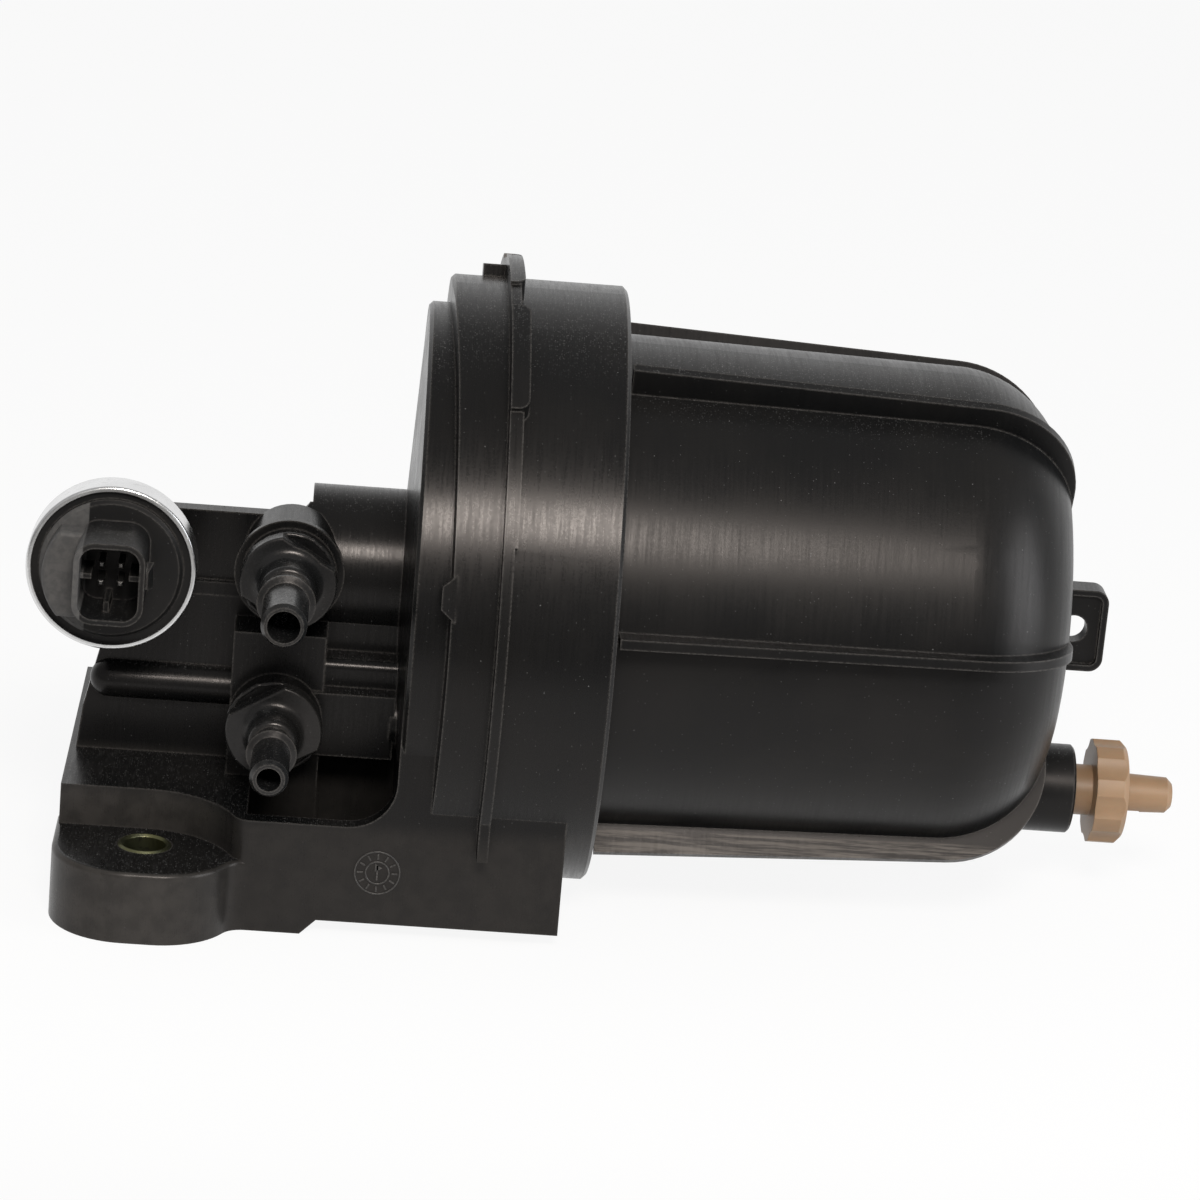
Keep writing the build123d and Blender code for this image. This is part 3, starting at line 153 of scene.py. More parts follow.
class Wiring:
    """A node tree whose nodes are added by method calls."""

    def __init__(self, tree):
        self.tree = tree

    def node(self, kind, settings=None, inputs=None, output=0):
        """Adds a node: its settings first, then the values or links of its sockets."""
        node = self.tree.nodes.new(kind)
        for key, value in (settings or {}).items():
            setattr(node, key, value)
        for key, value in (inputs or {}).items():
            self.connect(self.find(node.inputs, key), value)
        return Signal(self, self.find(node.outputs, output))

    @staticmethod
    def find(sockets, key):
        """A socket by its number, its identifier or its name."""
        if isinstance(key, int):
            return sockets[key]
        matches = [s for s in sockets if s.identifier == key] or [s for s in sockets if s.name == key]
        return matches[0]

    def connect(self, socket, value):
        """Links a signal to a socket, or sets the socket's own value."""
        if isinstance(value, Signal):
            self.tree.links.new(value.socket, socket)
        else:
            socket.default_value = value


# %% [markdown]
# ## Patterns that every finish uses
#
# Clouds, grain that runs one way, dust, and paler corners turn up on most surfaces. Each is one method here.
# They work in the object's own coordinates, so a pattern keeps its size in millimetres and moves with
# its piece.

# %% A material and its pattern makers
class Finish(Wiring):
    """A material with the pattern makers that this object needs."""

    def __init__(self, name):
        self.material = bpy.data.materials.new(name)
        self.material.use_nodes = True
        super().__init__(self.material.node_tree)
        self.shader = self.tree.nodes["Principled BSDF"]
        self.place = self.node("ShaderNodeTexCoord", output="Object")

    def mix(self, factor, first, second):
        """A colour between two colours."""
        return self.node(
            "ShaderNodeMix",
            {"data_type": "RGBA"},
            {"Factor_Float": factor, "A_Color": first, "B_Color": second},
            "Result_Color",
        )

    def noise(self, per_mm, detail=2.0, roughness=0.5, where=None):
        """Cloudy noise from 0 to 1, with about that many blobs in a millimetre."""
        return self.node(
            "ShaderNodeTexNoise",
            None,
            {"Vector": where or self.place, "Scale": per_mm / MM, "Detail": detail, "Roughness": roughness},
            "Fac",
        )

    def stretched(self, x, y, z):
        """The object's coordinates with each axis scaled, for grain that runs one way."""
        return self.node("ShaderNodeMapping", None, {"Vector": self.place, "Scale": (x, y, z)})

    def specks(self, per_mm, size, share):
        """Small round dots scattered at random: 1 on a dot, 0 elsewhere."""
        cells = {"Vector": self.place, "Scale": per_mm / MM, "Randomness": 1.0}
        near = self.node("ShaderNodeTexVoronoi", None, cells, "Distance")
        draw = self.node("ShaderNodeTexVoronoi", None, cells, "Color")
        pick = self.node("ShaderNodeSeparateColor", None, {"Color": draw}, "Red")
        soft_rim, draw_step = 0.6, 0.02
        return (1 - near.above(size * soft_rim, size)) * pick.above(1 - share, 1 + draw_step - share)

    def along(self, axis):
        """How far along X, Y or Z a point lies, in millimetres."""
        return self.node("ShaderNodeSeparateXYZ", None, {"Vector": self.place}, axis) * (1 / MM)

    def facing_up(self):
        """1 on level faces that look up, 0 on upright ones."""
        normal = self.node("ShaderNodeNewGeometry", output="Normal")
        steep, almost_level = 0.80, 0.99
        return self.node("ShaderNodeSeparateXYZ", None, {"Vector": normal}, "Z").above(steep, almost_level)

    def edges(self, radius_mm):
        """A normal that rounds every corner, and a mask that is 1 on the corners."""
        rounded = self.node("ShaderNodeBevel", {"samples": 6}, {"Radius": radius_mm * MM})
        flat = self.node("ShaderNodeNewGeometry", output="Normal")
        dot = {"operation": "DOT_PRODUCT"}
        same = self.node("ShaderNodeVectorMath", dot, {0: rounded, 1: flat}, "Value")
        slight_turn, clear_turn = 0.006, 0.07
        return rounded, (1 - same).above(slight_turn, clear_turn)

    def bump(self, height, depth_mm, normal=None):
        """Turns a height from 0 to 1 into a normal."""
        inputs = {"Height": height, "Distance": depth_mm * MM, "Strength": 1.0}
        if normal is not None:
            inputs["Normal"] = normal
        return self.node("ShaderNodeBump", None, inputs)

    def set(self, **inputs):
        """Sets or links the surface shader's sockets. An underscore in a name stands for a space."""
        for key, value in inputs.items():
            self.connect(self.shader.inputs[key.replace("_", " ")], value)
        return self.material


def grey(level, warmth=0.0):
    """A colour near grey. Warmth moves it towards brown."""
    return (level * (1 + warmth), level, level * (1 - warmth), 1.0)


# %% [markdown]
# ## Black mouldings
#
# Glass-filled nylon is black all through, with a satin skin. Under a lamp it shows a soft brownish sheen,
# a fine grain, drag marks from the mould and pale dust. One colour with one roughness would look like a toy,
# so all of that is small variation in colour and roughness, and a very shallow bump.
# The corners are a little paler, partly from handling that polishes them and partly as painted highlight
# along the edges, and dust settles on level faces.

# %% Black plastic
def black_moulding(name, tone, roughness, grain_mm, drag=(1, 1, 1), wear_and_painted_light=None, shine=0.22):
    """Black plastic of a tone near 0. An optional function gives mask, colour and added roughness of a worn
    place, whose colour on the lowest ribs is partly painted reflection.
    """
    f = Finish(name)
    dust = 0.10
    _, corners = f.edges(0.7)
    clouds = f.noise(per_mm=0.05, detail=3.0)
    fine = f.noise(per_mm=1.8, detail=3.0, roughness=0.65)
    streaks = f.noise(per_mm=0.9, detail=3.0, roughness=0.6, where=f.stretched(*drag))
    coarse = f.specks(per_mm=0.45, size=0.08, share=dust)
    tiny = f.specks(per_mm=1.3, size=0.16, share=1.5 * dust)
    settled = f.specks(per_mm=2.2, size=0.30, share=0.5) + f.specks(per_mm=1.1, size=0.22, share=0.35)
    settled = settled * f.facing_up()
    body = f.mix(clouds.above(0.35, 0.7), grey(tone * 0.85, -0.05), grey(tone * 1.2, 0.02))
    # Paler corners: polish from handling, and painted highlight along the edges
    body = f.mix(corners * fine.above(0.25, 0.6) * 0.8, body, grey(tone + 0.055, 0.06))
    body = f.mix(coarse * 0.40, body, grey(0.20))
    body = f.mix(tiny * 0.35, body, grey(0.16))
    body = f.mix(settled * 0.45, body, grey(0.18))
    rough = roughness + 0.08 * (clouds - 0.5) + 0.24 * (streaks - 0.5) + 0.16 * (fine - 0.5) + 0.2 * coarse
    if wear_and_painted_light is not None:
        place, colour, worn_rough = wear_and_painted_light(f)
        body = f.mix(place, body, colour)
        rough = rough + place * worn_rough
    return f.set(
        Base_Color=body,
        Roughness=rough,
        Normal=f.bump(0.5 * fine + 0.5 * streaks, grain_mm),
        IOR=1.5,
        Specular_IOR_Level=shine,
        Specular_Tint=(1.0, 0.94, 0.91, 1.0),
    )


# %% [markdown]
# ## Worn places and painted reflection
#
# Three places don't look like the rest of their moulding. The lowest ribs slide on the bench and are
# scratched along the filter, and their paler brown is partly painted reflection of the white floor. The
# raised segment on the plug is chalky, and the foot's upright faces are browner and a little paler, most of
# all towards the ear.
# Each is found by where it lies on the object, so that no mask has to be painted.

# %% The rubbed ribs of the bowl, with painted reflection
LOW_RIBS = 36.0


def rib_scratches_and_painted_reflection(f):
    """Mask, colour and added roughness of the lowest ribs: a paler brown that is partly painted reflection
    of the floor, with scratches along the filter.
    """
    below = AXIS_HEIGHT - f.along("Z")
    aside = f.along("Y")
    barrel = BARREL_RADIUS - (f.along("X") - BARREL_LEFT) * tan(radians(BARREL_DRAFT_DEG))
    proud = (below * below + aside * aside).maths("SQRT") - barrel
    on_rib = proud.above(1.0, 1.6) * f.along("X").above(BARREL_LEFT, BARREL_LEFT + 2)
    place = on_rib * below.above(LOW_RIBS, LOW_RIBS + 2)
    scratches = f.noise(per_mm=0.9, detail=4.0, roughness=0.7, where=f.stretched(0.05, 1.0, 1.0))
    # The pale brown of the scratches is partly painted reflection of the white floor
    return place, f.mix(scratches.above(0.42, 0.60), grey(0.004), grey(0.065, 0.12)), 0.05


# %% The plug's pad and the head's foot
PAD_RIGHT, PAD_BACK = -15.7, -33.6
FOOT_TOP, EAR_RIGHT = 27.0, 22.0


def chalky_pad(f):
    """Mask, colour and added roughness of the raised segment on the plug's disc."""
    place = (PAD_RIGHT - f.along("X")).above(0.0, 0.3) * (PAD_BACK - f.along("Y")).above(0.0, 0.4)
    blotches = f.noise(per_mm=0.8, detail=3.0)
    return place, f.mix(blotches.above(0.3, 0.7), grey(0.060), grey(0.080, 0.02)), 0.1


def browner_foot_faces(f):
    """Mask, colour and added roughness of the foot's upright faces: browner, most of all at the ear."""
    low = (FOOT_TOP - f.along("Z")).above(0.0, 5.0) * (1 - f.facing_up())
    cloudy = f.noise(per_mm=0.25, detail=3.0, roughness=0.6).above(0.3, 0.7)
    at_ear = (EAR_RIGHT - f.along("X")).above(0.0, 20.0)
    return low * (0.6 + 0.4 * cloudy), f.mix(at_ear, grey(0.014, 0.08), grey(0.030, 0.08)), 0.02


# %% [markdown]
# ## The five black finishes
#
# The head is the glossiest of the large pieces, the bowl a little duller, and the plug is another plastic,
# matt and grainy. On head and bowl the drag marks run round the axis, as the mould's polishing left them.

# %% Finishes of the seen mouldings
head_black = black_moulding(
    "head black nylon", tone=0.005, roughness=0.29, grain_mm=0.014, drag=(2, 0.12, 0.12), wear_and_painted_light=browner_foot_faces
)
# The dial's nylon is the head's, painted lighter: painted highlight on its raised lines
dial_black_painted_highlight = black_moulding("dial black nylon", tone=0.024, roughness=0.34, grain_mm=0.014)
bowl_black = black_moulding(
    "bowl black nylon", tone=0.005, roughness=0.35, grain_mm=0.011, drag=(2, 0.08, 0.08), wear_and_painted_light=rib_scratches_and_painted_reflection
)
port_black = black_moulding("port black nylon", tone=0.011, roughness=0.27, grain_mm=0.010, shine=0.32)
plug_black = black_moulding(
    "plug black polyester", tone=0.008, roughness=0.45, grain_mm=0.016, wear_and_painted_light=chalky_pad
)
print("Black finishes:", [m.name for m in (head_black, dial_black_painted_highlight, bowl_black, port_black, plug_black)])

# %% [markdown]
# ## Tan plastic
#
# The drain screw is unpainted tan nylon, with a soft, slightly waxy surface. A little light travels through
# it, which a small subsurface weight gives. Its corners are paler and a few darker specks are moulded in.

# %% Tan plastic
def tan_moulding(name):
    """Tan nylon in soft clouds between two close colours."""
    f = Finish(name)
    rounded, corners = f.edges(0.3)
    clouds = f.noise(per_mm=0.12, detail=3.0)
    fine = f.noise(per_mm=3.0, detail=2.0, roughness=0.6)
    dark_specks = f.specks(per_mm=0.7, size=0.10, share=0.12)
    body = f.mix(clouds.above(0.3, 0.75), (0.216, 0.133, 0.072, 1), (0.264, 0.163, 0.089, 1))
    body = f.mix(corners * 0.35, body, (0.34, 0.225, 0.13, 1))
    body = f.mix(dark_specks * 0.5, body, (0.18, 0.11, 0.055, 1))
    return f.set(
        Base_Color=body,
        Roughness=0.44 + 0.12 * (clouds - 0.5) + 0.06 * (fine - 0.5),
        Normal=f.bump(fine, 0.012, normal=rounded),
        Subsurface_Weight=0.08,
        Subsurface_Scale=0.8 * MM,
        IOR=1.5,
    )


drain_tan = tan_moulding("drain tan nylon")

# %% [markdown]
# ## Metals
#
# The sensor's cup is bright drawn aluminium, polished by the rolling tool, and the bushes are steel with an
# olive-yellow coat. A metal shows its making in fine lines: they run along Y on the drawn cup and along Z on
# the pressed bushes. So the noise is stretched along the lines, and drives both the roughness and the bump.

# %% Metals
def metal(name, first, second, roughness, grain_mm, brushing=(1, 1, 1), dirt=0.0):
    """Bare or plated metal between two colours. Lines run where brushing is small, and dirt is dark."""
    f = Finish(name)
    rounded, corners = f.edges(0.2)
    clouds = f.noise(per_mm=0.15, detail=3.0)
    lines = f.noise(per_mm=2.5, detail=3.0, roughness=0.65, where=f.stretched(*brushing))
    smudges = f.noise(per_mm=0.5, detail=4.0).above(0.58, 0.72)
    body = f.mix(clouds.above(0.3, 0.7), first, second)
    body = f.mix(smudges * dirt, body, grey(0.05, 0.1))
    return f.set(
        Base_Color=body,
        Metallic=1.0,
        Roughness=roughness + 0.12 * (clouds - 0.5) + 0.18 * (lines - 0.5) - 0.05 * corners,
        Normal=f.bump(lines, grain_mm, normal=rounded),
    )


olive, olive_brown = (0.17, 0.165, 0.08, 1), (0.13, 0.14, 0.09, 1)
crimp_bright = metal(
    "crimp drawn aluminium",
    grey(0.66),
    grey(0.76),
    roughness=0.24,
    grain_mm=0.004,
    brushing=(1, 0.08, 1),
    dirt=0.15,
)
bush_yellow = metal(
    "bush yellow plating",
    olive,
    olive_brown,
    roughness=0.38,
    grain_mm=0.006,
    brushing=(1, 1, 0.15),
    dirt=0.6,
)
base_steel = metal(
    "sensor base plated steel",
    grey(0.42),
    grey(0.50),
    roughness=0.30,
    grain_mm=0.005,
    brushing=(1, 0.1, 1),
)
# The pins are painted much darker than tin: painted shade of the socket they sit in
pin_tin_painted_shade = metal("terminal tin plating", grey(0.10), grey(0.15, 0.05), roughness=0.46, grain_mm=0.003)
print("Metals:", [m.name for m in (crimp_bright, bush_yellow, base_steel, pin_tin_painted_shade)])

# %% [markdown]
# ## Rubber, ceramic, laminate and the element
#
# These lie inside and show only when a piece is taken off or cut open, so a plainer recipe is enough:
# two close colours in soft blobs, and a fine bump. Paper and cloth get threads on top.

# %% Rubber, ceramic, laminate and dark nylon
FINER = 8


def matt(name, first, second, roughness, per_mm, depth_mm):
    """A plain surface between two colours, with per_mm blobs in a millimetre and a finer bump."""
    f = Finish(name)
    blobs = f.noise(per_mm, detail=3.0)
    fine = f.noise(per_mm * FINER, detail=2.0)
    return f.set(
        Base_Color=f.mix(blobs.above(0.3, 0.7), first, second),
        Roughness=roughness + 0.15 * (blobs - 0.5),
        Normal=f.bump(fine, depth_mm),
    )


deep_green, pale_green = (0.02, 0.13, 0.05, 1), (0.03, 0.19, 0.08, 1)
seal_rubber = matt(
    "seal black rubber", grey(0.010), grey(0.018), roughness=0.55, per_mm=0.4, depth_mm=0.010
)
cell_ceramic = matt(
    "cell white ceramic", grey(0.80, 0.02), grey(0.86, 0.02), roughness=0.30, per_mm=0.3, depth_mm=0.002
)
board_green = matt(
    "board green laminate", deep_green, pale_green, roughness=0.35, per_mm=0.5, depth_mm=0.006
)
cap_grey = matt(
    "element cap dark nylon", grey(0.035), grey(0.05), roughness=0.45, per_mm=0.3, depth_mm=0.012
)


# %% Paper and cloth
def woven(name, first, second, threads_per_mm, roughness, depth_mm):
    """Threads that cross the filter's axis, and cloudy colour over them."""
    f = Finish(name)
    threads = (f.along("X") * (2 * pi * threads_per_mm)).maths("SINE")
    clouds = f.noise(per_mm=0.2, detail=3.0)
    fibres = f.noise(per_mm=3.0, detail=3.0, roughness=0.65, where=f.stretched(0.3, 1, 1))
    return f.set(
        Base_Color=f.mix(clouds.above(0.3, 0.7), first, second),
        Roughness=roughness + 0.2 * (fibres - 0.5),
        Normal=f.bump(0.5 * fibres + 0.25 * threads, depth_mm),
    )


tawny, pale_tawny = (0.74, 0.56, 0.25, 1), (0.80, 0.64, 0.32, 1)
media_paper = woven(
    "filter paper", tawny, pale_tawny, threads_per_mm=0.5, roughness=0.75, depth_mm=0.05
)
screen_cloth = woven(
    "water screen cloth", grey(0.62), grey(0.72), threads_per_mm=4.0, roughness=0.5, depth_mm=0.04
)
print("There are", len(bpy.data.materials), "materials, with those that came with the CAD")

# %% [markdown]
# ## Who wears what
#
# A CAD node whose shape is right keeps its mesh and only gets a better material, in its own material slot.

# %% Dress the CAD nodes
WEARS = {
    "filter_head": head_black,
    "filter_bowl": bowl_black,
    "supply_port": port_black,
    "return_port": port_black,
    "sensor_plug": plug_black,
    "crimp_ring": crimp_bright,
    "sensor_base": base_steel,
    "sensor_terminals": pin_tin_painted_shade,
    "sensor_seal": seal_rubber,
    "cell_seal": seal_rubber,
    "sensor_cell": cell_ceramic,
    "sensor_board": board_green,
    "mount_bush_front": bush_yellow,
    "mount_bush_rear": bush_yellow,
    "bowl_seal": seal_rubber,
    "drain_seal": seal_rubber,
    "drain_valve": drain_tan,
    "element_top_cap": cap_grey,
    "element_bottom_cap": cap_grey,
    "element_grommet": seal_rubber,
    "element_core": cap_grey,
    "water_screen": screen_cloth,
    "filter_media": media_paper,
}
for node_name, material in WEARS.items():
    mesh = nodes[node_name].data
    mesh.materials.clear()
    mesh.materials.append(material)
print("Dressed", len(WEARS), "nodes")

# %% [markdown]
# ## Softened edges
#
# No moulding has a knife edge: the tool's corners are a few tenths of a millimetre round, and those edges
# catch the light. The CAD keeps them sharp. A Bevel modifier on a merged copy of the node rounds each edge
# that turns by more than 32 degrees. The copy then stands for the node, on its body and in its slot.

# %% Which body a node rides on
body_of_node = {}
for body_name, members in frame["record"]["behaviour"]["bodies"].items():
    for member in members:
        body_of_node[member] = body_name
print("Bodies:", sorted(set(body_of_node.values())))

# %% [markdown]
# ## Shading from the CAD
#
# A long smooth sheen shows every error of the shading, and a bevelled copy has new normals that ripple.
# So the copy takes the CAD's own normals back: each face corner looks up the nearest spot of the CAD's
# surface, a little inside its face, so that a corner on a crease finds the right side of it. Where that
# fails, the vertex itself is looked up. Only the new rounded edges keep what Blender worked out.

# %% Normals from the CAD
ON_SURFACE = 0.004 * MM
INWARD_STEP = 0.02 * MM
INWARD_REACH = 0.01 * MM
SAME_FACE, SAME_SIDE = 0.96, 0.6


def take_true_normals(mesh, source):
    """Gives the mesh the source's normals wherever it still lies on the source's surface."""
    source.calc_loop_triangles()
    corners = [tuple(triangle.vertices) for triangle in source.loop_triangles]
    points = [vertex.co.copy() for vertex in source.vertices]
    tree = BVHTree.FromPolygons(points, corners)
    source_normals = [Vector(n.vector) for n in source.corner_normals]

    def look_up(point, reach):
        spot, _, index, _ = tree.find_nearest(point, reach)
        if spot is None:
            return None
        triangle = source.loop_triangles[index]
        weights = poly_3d_calc([points[v] for v in triangle.vertices], spot)
        blend = Vector()
        for weight, loop in zip(weights, triangle.loops):
            blend += source_normals[loop] * weight
        return blend.normalized() if blend.length > 0.1 else None

    at_vertex = [look_up(vertex.co, ON_SURFACE) for vertex in mesh.vertices]
    normals = [Vector(n.vector) for n in mesh.corner_normals]
    taken = 0
    for face in mesh.polygons:
        for loop in face.loop_indices:
            vertex = mesh.loops[loop].vertex_index
            place = mesh.vertices[vertex].co
            inward = (face.center - place).normalized() * INWARD_STEP
            found = look_up(place + inward, INWARD_REACH)
            if found is None or found.dot(face.normal) < SAME_FACE:
                found = at_vertex[vertex]
            if found is not None and found.dot(face.normal) > SAME_SIDE:
                normals[loop] = found
                taken += 1
    mesh.normals_split_custom_set(normals)
    print("  took", taken, "of", len(normals), "normals from the CAD")


# %% Copies with softened edges
MERGE_DISTANCE = 0.002 * MM
FLAT_TURN, SHARP_TURN = radians(0.8), radians(32)


def finished(name, draft):
    """The draft with its modifiers worked out into a plain mesh."""
    mesh = bpy.data.meshes.new_from_object(draft.evaluated_get(bpy.context.evaluated_depsgraph_get()))
    bpy.data.objects.remove(draft)
    mesh.name = name
    piece = bpy.data.objects.new(name, mesh)
    bpy.context.collection.objects.link(piece)
    triangles = sum(len(face.vertices) - 2 for face in mesh.polygons)
    print(name, "has", triangles, "triangles")
    return piece


def softened(node_name, width_mm):
    """A closed copy of a CAD node with its edges rounded, which replaces the node."""
    mesh = nodes[node_name].data.copy()
    shell = bmesh.new()
    shell.from_mesh(mesh)
    bmesh.ops.remove_doubles(shell, verts=shell.verts, dist=MERGE_DISTANCE)
    bmesh.ops.dissolve_limit(shell, angle_limit=FLAT_TURN, verts=shell.verts, edges=shell.edges)
    for face in shell.faces:
        face.smooth = True
    shell.to_mesh(mesh)
    shell.free()
    draft = bpy.data.objects.new("draft", mesh)
    bpy.context.collection.objects.link(draft)
    bevel = draft.modifiers.new("round the edges", "BEVEL")
    bevel.width = width_mm * MM
    bevel.segments = 2
    bevel.limit_method = "ANGLE"
    bevel.angle_limit = SHARP_TURN
    bevel.use_clamp_overlap = True
    bevel.harden_normals = True
    piece = finished(node_name + "_softened", draft)
    take_true_normals(piece.data, nodes[node_name].data)
    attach(piece, body_of_node[node_name])
    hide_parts(node_name)


SOFTEN_MM = {
    "filter_head": 0.5,
    "filter_bowl": 0.4,
    "supply_port": 0.3,
    "return_port": 0.3,
    "sensor_plug": 0.3,
    "drain_valve": 0.45,
    "mount_bush_front": 0.25,
    "mount_bush_rear": 0.25,
}
for node_name, width_mm in SOFTEN_MM.items():
    softened(node_name, width_mm)

# %% [markdown]
# ## Details that repeat or follow a circle
#
# A mould's date dial, screw threads and weld beads all follow a circle, so Geometry Nodes make them.
# Each tree has named inputs for its sizes, and one helper turns its result into a plain mesh on one body.

# %% A recipe for Geometry Nodes
RING = "GeometryNodeCurvePrimitiveCircle"
SECTION = "GeometryNodeCurvePrimitiveQuadrilateral"
SWEEP = "GeometryNodeCurveToMesh"
STEPS_ROUND = 96


class Recipe(Wiring):
    """A Geometry Nodes tree whose inputs are the named sizes."""

    def __init__(self, name, **sizes):
        super().__init__(bpy.data.node_groups.new(name, "GeometryNodeTree"))
        self.sizes = sizes
        self.sockets = {}
        for key, value in sizes.items():
            kind = "NodeSocketInt" if isinstance(value, int) else "NodeSocketFloat"
            self.sockets[key] = self.tree.interface.new_socket(key, in_out="INPUT", socket_type=kind)
        self.tree.interface.new_socket("Mesh", in_out="OUTPUT", socket_type="NodeSocketGeometry")
        self.start = self.tree.nodes.new("NodeGroupInput")

    def size(self, key):
        """One of the named sizes, as a signal."""
        return Signal(self, self.start.outputs[key])

    def joined(self, *parts):
        """Several geometries as one."""
        node = self.tree.nodes.new("GeometryNodeJoinGeometry")
        for part in parts:
            self.tree.links.new(part.socket, node.inputs[0])
        return Signal(self, node.outputs[0])

    def grow(self, name, geometry, material, body, slot):
        """Ends the tree, works it out, and leaves a plain mesh that rides on a body."""
        real = self.node("GeometryNodeRealizeInstances", None, {0: geometry})
        dressed = self.node("GeometryNodeSetMaterial", None, {"Geometry": real, "Material": material})
        end = self.tree.nodes.new("NodeGroupOutput")
        self.tree.links.new(dressed.socket, end.inputs[0])
        draft = bpy.data.objects.new("draft", bpy.data.meshes.new("draft"))
        bpy.context.collection.objects.link(draft)
        modifier = draft.modifiers.new("recipe", "NODES")
        modifier.node_group = self.tree
        for key, value in self.sizes.items():
            modifier[self.sockets[key].identifier] = value
        piece = finished(name, draft)
        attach(piece, body)
        return piece

    def vector(self, x=0.0, y=0.0, z=0.0):
        """A vector from three values or signals."""
        return self.node("ShaderNodeCombineXYZ", None, {"X": x, "Y": y, "Z": z})

    def moved(self, geometry, place=(0, 0, 0), turn_deg=(0, 0, 0)):
        """The geometry, first turned round the axes and then shifted."""
        turn = tuple(radians(angle) for angle in turn_deg)
        inputs = {"Geometry": geometry, "Translation": place, "Rotation": turn}
        return self.node("GeometryNodeTransform", None, inputs)

    def hoop(self, radius, width, rise):
        """A flat raised ring round Z, with a rectangular section."""
        ring = self.node(RING, None, {"Resolution": STEPS_ROUND, "Radius": radius})
        section = self.node(SECTION, None, {"Width": width, "Height": rise * 2})
        return self.node(SWEEP, None, {"Curve": ring, "Profile Curve": section})


# %% [markdown]
# ## The date dial
#
# The toolmaker's dial on the block's front is two raised rings with twelve ticks between them and an arrow
# in the middle, all 0.2 mm proud. The ticks are one small block, set on the points of a circle and turned to
# point at its middle.

# %% Date dial
DIAL_PLACE = (48.9 * MM, -53.3 * MM, 14.8 * MM)
UPRIGHT = (90, 0, 0)
# Shares of the dial's radius
INNER_RIM, TICK_MIDDLE, TICK_LENGTH = 0.52, 0.77, 0.26
HEAD_SIZE, HEAD_MIDDLE, SHAFT_LENGTH = 0.22, 0.24, 0.7
dial = Recipe("date dial", Radius=4.7 * MM, Line=0.32 * MM, Rise=0.2 * MM, Ticks=12)
radius, line, rise = dial.size("Radius"), dial.size("Line"), dial.size("Rise")
rim = dial.hoop(radius, line, rise)
inner_rim = dial.hoop(radius * INNER_RIM, line, rise)
circle = {"Vertices": dial.size("Ticks"), "Radius": radius * TICK_MIDDLE}
spots = dial.node("GeometryNodeMeshCircle", None, circle)
stroke = {"Size": dial.vector(radius * TICK_LENGTH, line, rise * 2)}
tick = dial.node("GeometryNodeMeshCube", None, stroke, "Mesh")
outward = dial.node("GeometryNodeInputPosition")
aligned = dial.node("FunctionNodeAlignRotationToVector", {"axis": "X"}, {"Vector": outward})
copies = {"Points": spots, "Instance": tick, "Rotation": aligned}
ticks = dial.node("GeometryNodeInstanceOnPoints", None, copies)
wedge = {"Vertices": 3, "Radius": radius * HEAD_SIZE, "Depth": rise * 2}
centred_head = dial.node("GeometryNodeMeshCylinder", None, wedge, "Mesh")
arrow_head = dial.moved(centred_head, dial.vector(0.0, radius * HEAD_MIDDLE))
bar = {"Size": dial.vector(line, radius * SHAFT_LENGTH, rise * 2)}
arrow_shaft = dial.node("GeometryNodeMeshCube", None, bar, "Mesh")
flat_dial = dial.joined(rim, inner_rim, ticks, arrow_head, arrow_shaft)
# The dial wears the lighter nylon, a painted highlight on its raised lines
dial.grow("date_dial", dial.moved(flat_dial, DIAL_PLACE, UPRIGHT), dial_black_painted_highlight, "head", "head_plastic")

# %% [markdown]
# ## Screw threads
#
# The bowl's neck and the drain screw's stem carry threads, which show once they are unscrewed. A thread is a
# small section swept along a spiral, so one recipe makes both. It stands no higher than the gap around it.

# %% Threads
def thread(name, left, length, height, radius, pitch, rise, width, material, body, slot):
    """A ridge that winds round the filter's or the drain's axis, from left, all in millimetres."""
    recipe = Recipe(
        name,
        Left=left * MM,
        Length=length * MM,
        Height=height * MM,
        Radius=radius * MM,
        Pitch=pitch * MM,
        Rise=rise * MM,
        Width=width * MM,
    )
    turns = recipe.size("Length") / recipe.size("Pitch")
    spiral = recipe.node(
        "GeometryNodeCurveSpiral",
        None,
        {
            "Resolution": STEPS_ROUND,
            "Rotations": turns,
            "Start Radius": recipe.size("Radius"),
            "End Radius": recipe.size("Radius"),
            "Height": recipe.size("Length"),
        },
    )
    upright = recipe.node("GeometryNodeSetCurveNormal", {"mode": "Z_UP"}, {"Curve": spiral})
    section = recipe.node(
        SECTION,
        {"mode": "TRAPEZOID"},
        {
            "Height": recipe.size("Rise") * 2,
            "Bottom Width": recipe.size("Width"),
            "Top Width": recipe.size("Width") * 0.4,
            "Offset": 0.0,
        },
    )
    ridge = recipe.node(SWEEP, None, {"Curve": upright, "Profile Curve": section, "Fill Caps": True})
    lying = recipe.moved(ridge, turn_deg=(0, 90, 0))
    placed = recipe.moved(lying, recipe.vector(recipe.size("Left"), 0.0, recipe.size("Height")))
    recipe.grow(name, placed, material, body, slot)


thread(
    "bowl_thread",
    left=71.0,
    length=19.0,
    height=AXIS_HEIGHT,
    radius=59.2,
    pitch=4.0,
    rise=0.2,
    width=1.6,
    material=bowl_black,
    body="bowl",
    slot="bowl_plastic",
)
thread(
    "drain_thread",
    left=189.0,
    length=10.0,
    height=DRAIN_HEIGHT,
    radius=5.6,
    pitch=1.5,
    rise=0.11,
    width=0.7,
    material=drain_tan,
    body="drain",
    slot="drain_plastic",
)

# %% [markdown]
# ## Weld beads at the ports
#
# The two ports are welded on, and a little melted plastic swells out below their plates. A thin ring with
# cloud noise on its surface gives that lumpy bead. Its seed is fixed, so every run makes the same lumps.

# %% Weld beads
LUMPS_PER_MM = 0.45
SUNK_SHARE = 0.42
RING_STEPS, SECTION_STEPS = 120, 12
WELD = {"y": -32.2, "radius": 9.7, "thick": 0.4, "lumps": 0.7}


